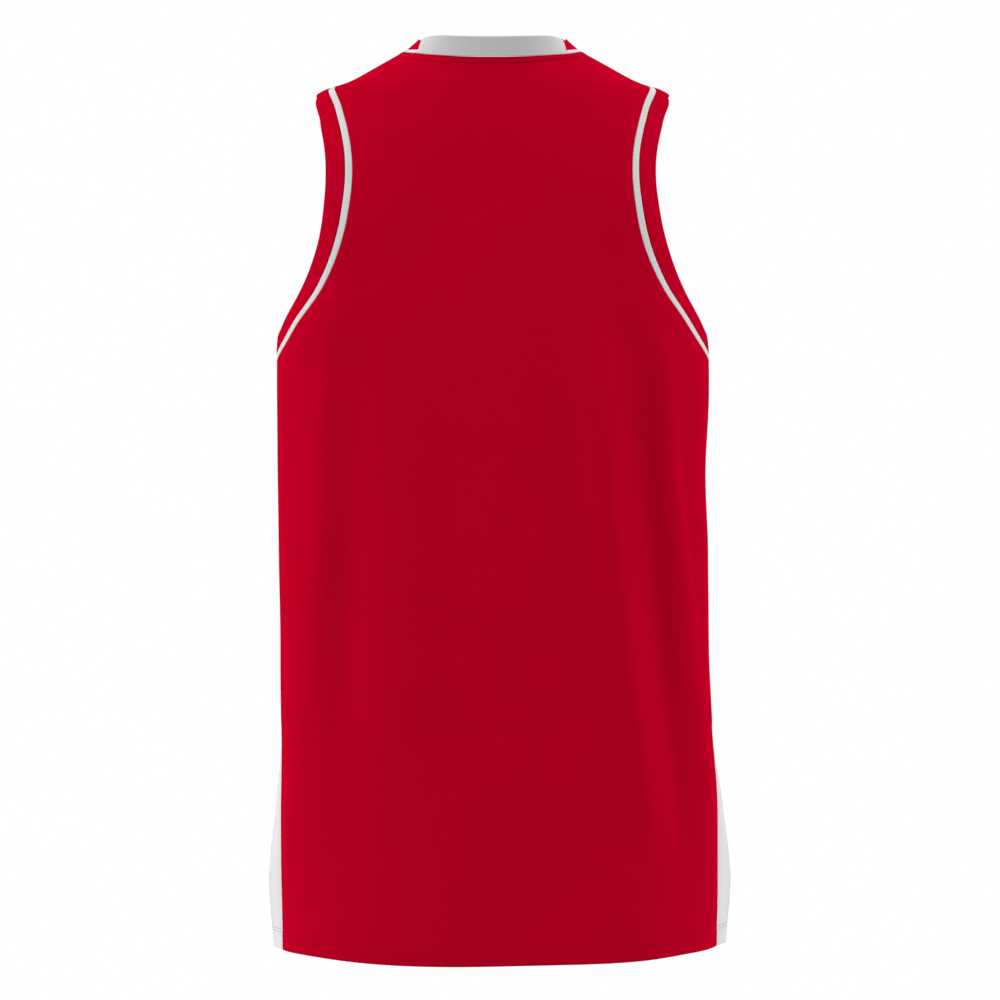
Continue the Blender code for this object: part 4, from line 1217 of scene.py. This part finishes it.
class NodeMaker:
    """Adds nodes and links to one node tree."""

    def __init__(self, tree):
        self.tree = tree

    def node(self, kind, **settings):
        made = self.tree.nodes.new(kind)
        for name, value in settings.items():
            setattr(made, name, value)
        return made

    def link(self, source, target):
        self.tree.links.new(source, target)

    def math(self, operation, first, second=None, third=None):
        made = self.node("ShaderNodeMath", operation=operation)
        for socket, value in zip(made.inputs, (first, second, third)):
            if value is None:
                continue
            if isinstance(value, (int, float)):
                socket.default_value = value
            else:
                self.link(value, socket)
        return made.outputs[0]

    def noise(self, scale, detail):
        """Uneven values between 0 and 1, in the object's own coordinates."""
        made = self.node("ShaderNodeTexNoise")
        made.inputs["Scale"].default_value = scale
        made.inputs["Detail"].default_value = detail
        self.link(self.node("ShaderNodeTexCoord").outputs["Object"], made.inputs["Vector"])
        return made.outputs[0]

    def relief(self, shader, height, strength, depth):
        bump = self.node("ShaderNodeBump")
        bump.inputs["Strength"].default_value = strength
        bump.inputs["Distance"].default_value = depth
        self.link(height, bump.inputs["Height"])
        self.link(bump.outputs[0], shader.inputs["Normal"])

    def seen_apart(self, output, lit, seen):
        """One shader for the light that reaches the cloth, another for what the camera sees itself."""
        mix = self.node("ShaderNodeMixShader")
        self.link(self.node("ShaderNodeLightPath").outputs["Is Camera Ray"], mix.inputs[0])
        self.link(lit.outputs[0], mix.inputs[1])
        self.link(seen.outputs[0], mix.inputs[2])
        self.link(mix.outputs[0], output.inputs[0])


def knit_group(look):
    """Node group of fine jersey knit: columns of V stitches, uneven yarn, broad mottling and painted shade
    where its relief sinks.
    """
    name = "Jersey knit"
    if name in bpy.data.node_groups:
        return bpy.data.node_groups[name]
    group = bpy.data.node_groups.new(name, "ShaderNodeTree")
    for output in ("Height", "Shade", "Rough"):
        group.interface.new_socket(output, in_out="OUTPUT", socket_type="NodeSocketFloat")
    make = NodeMaker(group)
    flat = make.node("ShaderNodeUVMap", uv_map="Knit")
    parts = make.node("ShaderNodeSeparateXYZ")
    make.link(flat.outputs[0], parts.inputs[0])
    wale = make.math("FRACT", make.math("DIVIDE", parts.outputs[0], look.wale))
    from_middle = make.math("MULTIPLY", make.math("ABSOLUTE", make.math("SUBTRACT", wale, 0.5)), 2.0)
    across_leg = make.math("SUBTRACT", make.math("MULTIPLY", from_middle, 2.0), 1.0)
    leg = make.math("SUBTRACT", 1.0, make.math("MULTIPLY", across_leg, across_leg))
    course = make.math("ADD", make.math("DIVIDE", parts.outputs[1], look.course), from_middle)
    wave = make.math("SINE", make.math("MULTIPLY", course, 2 * np.pi))
    loop = make.math("MULTIPLY_ADD", wave, *LOOP_WAVE)
    stitch = make.math("MULTIPLY", leg, loop)
    height = make.math("ADD", stitch, make.math("MULTIPLY", make.noise(*YARN_NOISE), YARN_SHARE))
    # Painted shade: the colour follows the relief's height and is darker in the knit's hollows. The broad
    # noise below is the knit's own uneven tone
    shade = make.math("MULTIPLY_ADD", height, *PAINTED_SHADE_RANGE)
    shade = make.math("ADD", shade, make.math("MULTIPLY", make.noise(*BROAD_NOISE), BROAD_SHADE))
    rough = make.math("MULTIPLY_ADD", stitch, *KNIT_ROUGH)
    out = make.node("NodeGroupOutput")
    make.link(height, out.inputs["Height"])
    make.link(shade, out.inputs["Shade"])
    make.link(rough, out.inputs["Rough"])
    return group


def start_material(name):
    """A new material, what adds nodes to it, and its shader."""
    material = bpy.data.materials.new(name)
    material.use_nodes = True
    return material, NodeMaker(material.node_tree), material.node_tree.nodes["Principled BSDF"]


def knit_material(colour_name, look):
    """Fine knit in one of the jersey's colours."""
    name = colour_name + " knit"
    if name in bpy.data.materials:
        return bpy.data.materials[name]
    material, make, shader = start_material(name)
    knit = make.node("ShaderNodeGroup", node_tree=knit_group(look))
    colour = tuple(getattr(look, colour_name)) + (1.0,)
    # The colour is multiplied by the knit's own tone and its painted shade
    tint = make.node("ShaderNodeMix", data_type="RGBA", blend_type="MULTIPLY")
    tint.inputs["Factor"].default_value = 1.0
    tint.inputs["A"].default_value = colour
    grey = make.node("ShaderNodeCombineColor")
    for channel in grey.inputs:
        make.link(knit.outputs["Shade"], channel)
    make.link(grey.outputs[0], tint.inputs["B"])
    make.link(tint.outputs["Result"], shader.inputs["Base Color"])
    make.link(knit.outputs["Rough"], shader.inputs["Roughness"])
    make.relief(shader, knit.outputs["Height"], look.bump, KNIT_DEPTH)
    shader.inputs["Specular IOR Level"].default_value = 0.0
    material.diffuse_color = colour
    return material


def thread_material(colour_name, look):
    """Spun sewing thread, with its twist as bump and as painted shade and light in its colour."""
    name = colour_name + " thread"
    if name in bpy.data.materials:
        return bpy.data.materials[name]
    material, make, shader = start_material(name)
    colour = tuple(getattr(look, colour_name))
    twist = make.noise(*TWIST_NOISE)
    # The colour follows the twist's bump: painted shade where it sinks, painted light where it rises
    ramp = make.node("ShaderNodeMix", data_type="RGBA")
    ramp.inputs["A"].default_value = tuple(THREAD_PAINTED_SHADE * part for part in colour) + (1.0,)
    ramp.inputs["B"].default_value = tuple(THREAD_PAINTED_LIGHT * part for part in colour) + (1.0,)
    make.link(twist, ramp.inputs["Factor"])
    make.link(ramp.outputs["Result"], shader.inputs["Base Color"])
    make.link(make.math("MULTIPLY_ADD", twist, *THREAD_ROUGH), shader.inputs["Roughness"])
    make.relief(shader, twist, THREAD_BUMP, THREAD_DEPTH)
    shader.inputs["Specular IOR Level"].default_value = THREAD_SHINE
    material.diffuse_color = colour + (1.0,)
    return material


# Soft lights: where each stands and the studio's setting that powers it, with their breadth and
# height and the place that they are all turned to
LIGHT_COLUMNS = ("name", "place", "share")
LIGHT_SIZE = (1.1, 1.4)
LIGHT_AIM = (0.0, 0.0, -0.38)
LIGHTS = (
    ("left_back", (2.26, 0.82, -0.38), "left"),
    ("right_back", (-2.26, 0.82, -0.38), "right"),
    ("left_front", (1.55, -1.85, -0.38), "front"),
    ("right_front", (-1.55, -1.85, -0.38), "front"),
    ("high_front", (0.0, -1.7, 1.32), "front"),
    ("top", (0.0, 0.08, 2.02), "top"),
)

# Camera at the photo's angle: level, behind the wearer, opposite the middle of the back
CAMERA_PLACE = (-0.0063, 2.5, -0.3758)
PHOTO_BREADTH = 0.84  # of the plane through the body's middle, in metres
SENSOR = 36.0
FLOOR_LEVEL = -1.2
FLOOR_SIDE = 14.0


def build_lights(studio):
    for row in LIGHTS:
        light = dict(zip(LIGHT_COLUMNS, row))
        data = bpy.data.lights.new(light["name"], "AREA")
        data.shape = "RECTANGLE"
        data.size, data.size_y = LIGHT_SIZE
        data.energy = getattr(studio, light["share"])
        lamp = bpy.data.objects.new(light["name"], data)
        lamp.location = light["place"]
        towards = Vector(LIGHT_AIM) - Vector(light["place"])
        lamp.rotation_euler = towards.to_track_quat("-Z", "Y").to_euler()
        bpy.context.scene.collection.objects.link(lamp)


def build_world(studio):
    """White to the camera, as the photo's background is, and a softer even light on the cloth."""
    world = bpy.data.worlds.new("Studio")
    bpy.context.scene.world = world
    world.use_nodes = True
    make = NodeMaker(world.node_tree)
    world.node_tree.nodes.clear()
    backgrounds = []
    for strength in (studio.around, 1.0):
        made = make.node("ShaderNodeBackground")
        made.inputs["Strength"].default_value = strength
        made.inputs["Color"].default_value = WHITE
        backgrounds.append(made)
    make.seen_apart(make.node("ShaderNodeOutputWorld"), *backgrounds)


def build_floor(studio):
    """A plain pale floor that runs on into the background with no line."""
    material, make, shader = start_material("pale floor")
    shader.inputs["Base Color"].default_value = (*[studio.floor] * 3, 1.0)
    shader.inputs["Roughness"].default_value = FLOOR_ROUGH
    white = make.node("ShaderNodeEmission")
    white.inputs["Color"].default_value = WHITE
    make.seen_apart(material.node_tree.nodes["Material Output"], shader, white)
    half = FLOOR_SIDE / 2
    corners = [(x * half, y * half, FLOOR_LEVEL) for x, y in ((-1, -1), (1, -1), (1, 1), (-1, 1))]
    add_mesh("floor", corners, [(0, 1, 2, 3)], material)


def build_camera():
    data = bpy.data.cameras.new("Camera")
    data.sensor_width = SENSOR
    data.lens = SENSOR * CAMERA_PLACE[1] / PHOTO_BREADTH
    camera = bpy.data.objects.new("Camera", data)
    camera.location = CAMERA_PLACE
    camera.rotation_euler = (np.pi / 2, 0.0, np.pi)
    bpy.context.scene.collection.objects.link(camera)
    bpy.context.scene.camera = camera
    bpy.context.scene.view_settings.view_transform = "Standard"


class JerseyLook(PropertyGroup):
    """The cloth's and the sewing's finish."""

    red: FloatVectorProperty(name="Red", size=3, subtype="COLOR", default=(0.475, 0.0, 0.017))
    white: FloatVectorProperty(name="White", size=3, subtype="COLOR", default=(0.64, 0.642, 0.642))
    # A darker copy of the white, for the neck insert: painted shade
    off_white: FloatVectorProperty(name="White painted with shade", size=3, subtype="COLOR", default=(0.575, 0.58, 0.58))
    # Thread on the white panels, painted grey for the shade in its grooves
    grey: FloatVectorProperty(name="Thread painted grey as shade", size=3, subtype="COLOR", default=(0.42, 0.37, 0.38))
    wale: FloatProperty(name="Wale", default=0.00105, min=0.0003, precision=5, unit="LENGTH")
    course: FloatProperty(name="Course", default=0.0008, min=0.0003, precision=5, unit="LENGTH")
    bump: FloatProperty(name="Knit relief", default=0.35, min=0.0, max=1.0)
    pitch: FloatProperty(name="Stitch pitch", default=0.0029, min=0.001, precision=5, unit="LENGTH")
    stitch: FloatProperty(name="Stitch length", default=0.0023, min=0.0005, precision=5, unit="LENGTH")
    thread: FloatProperty(name="Thread", default=0.00036, min=0.0001, precision=5, unit="LENGTH")


class JerseyStudio(PropertyGroup):
    """The floor and the lights."""

    left: FloatProperty(name="Left light", default=39.5, min=0.0)
    right: FloatProperty(name="Right light", default=32.0, min=0.0)
    top: FloatProperty(name="Top light", default=25.0, min=0.0)
    front: FloatProperty(name="Front lights", default=17.0, min=0.0)
    around: FloatProperty(name="Light all round", default=0.58, min=0.0)
    floor: FloatProperty(name="Floor", default=0.27, min=0.0, max=1.0)


class JERSEY_OT_body(Operator):
    """Build the back and front with their sewing"""

    bl_idname = "jersey.body"
    bl_label = "Back and front"

    def execute(self, context):
        build_body(context.scene.jersey_look)
        return {"FINISHED"}


class JERSEY_OT_sides(Operator):
    """Build the side panels with their vents"""

    bl_idname = "jersey.sides"
    bl_label = "Side panels"

    def execute(self, context):
        build_sides(context.scene.jersey_look)
        return {"FINISHED"}


class JERSEY_OT_armholes(Operator):
    """Build the piping and band round each armhole"""

    bl_idname = "jersey.armholes"
    bl_label = "Armhole trim"

    def execute(self, context):
        build_armholes(context.scene.jersey_look)
        return {"FINISHED"}


class JERSEY_OT_neck(Operator):
    """Build the insert, band and piping of the neck"""

    bl_idname = "jersey.neck"
    bl_label = "Neck trim"

    def execute(self, context):
        build_neck(context.scene.jersey_look)
        return {"FINISHED"}


class JERSEY_OT_stage(Operator):
    """Build the floor, lights, surroundings and camera"""

    bl_idname = "jersey.stage"
    bl_label = "Studio"

    def execute(self, context):
        studio = context.scene.jersey_studio
        build_world(studio)
        build_lights(studio)
        build_floor(studio)
        build_camera()
        return {"FINISHED"}


class JERSEY_PT_build(Panel):
    """The jersey's settings and steps"""

    bl_idname = "JERSEY_PT_build"
    bl_label = "Jersey"
    bl_space_type = "VIEW_3D"
    bl_region_type = "UI"
    bl_category = "Jersey"

    def draw(self, context):
        for group in (context.scene.jersey_look, context.scene.jersey_studio):
            box = self.layout.box()
            for name in group.__annotations__:
                box.prop(group, name)
        for step in STEPS:
            self.layout.operator(step.bl_idname)


STEPS = (JERSEY_OT_body, JERSEY_OT_sides, JERSEY_OT_armholes, JERSEY_OT_neck, JERSEY_OT_stage)
CLASSES = (JerseyLook, JerseyStudio) + STEPS + (JERSEY_PT_build,)


def register():
    for item in CLASSES:
        bpy.utils.register_class(item)
    bpy.types.Scene.jersey_look = PointerProperty(type=JerseyLook)
    bpy.types.Scene.jersey_studio = PointerProperty(type=JerseyStudio)


def unregister():
    del bpy.types.Scene.jersey_studio
    del bpy.types.Scene.jersey_look
    for item in reversed(CLASSES):
        bpy.utils.unregister_class(item)


def main():
    register()
    bpy.ops.jersey.body()
    bpy.ops.jersey.sides()
    bpy.ops.jersey.armholes()
    bpy.ops.jersey.neck()
    bpy.ops.jersey.stage()


if __name__ == "__main__":
    main()
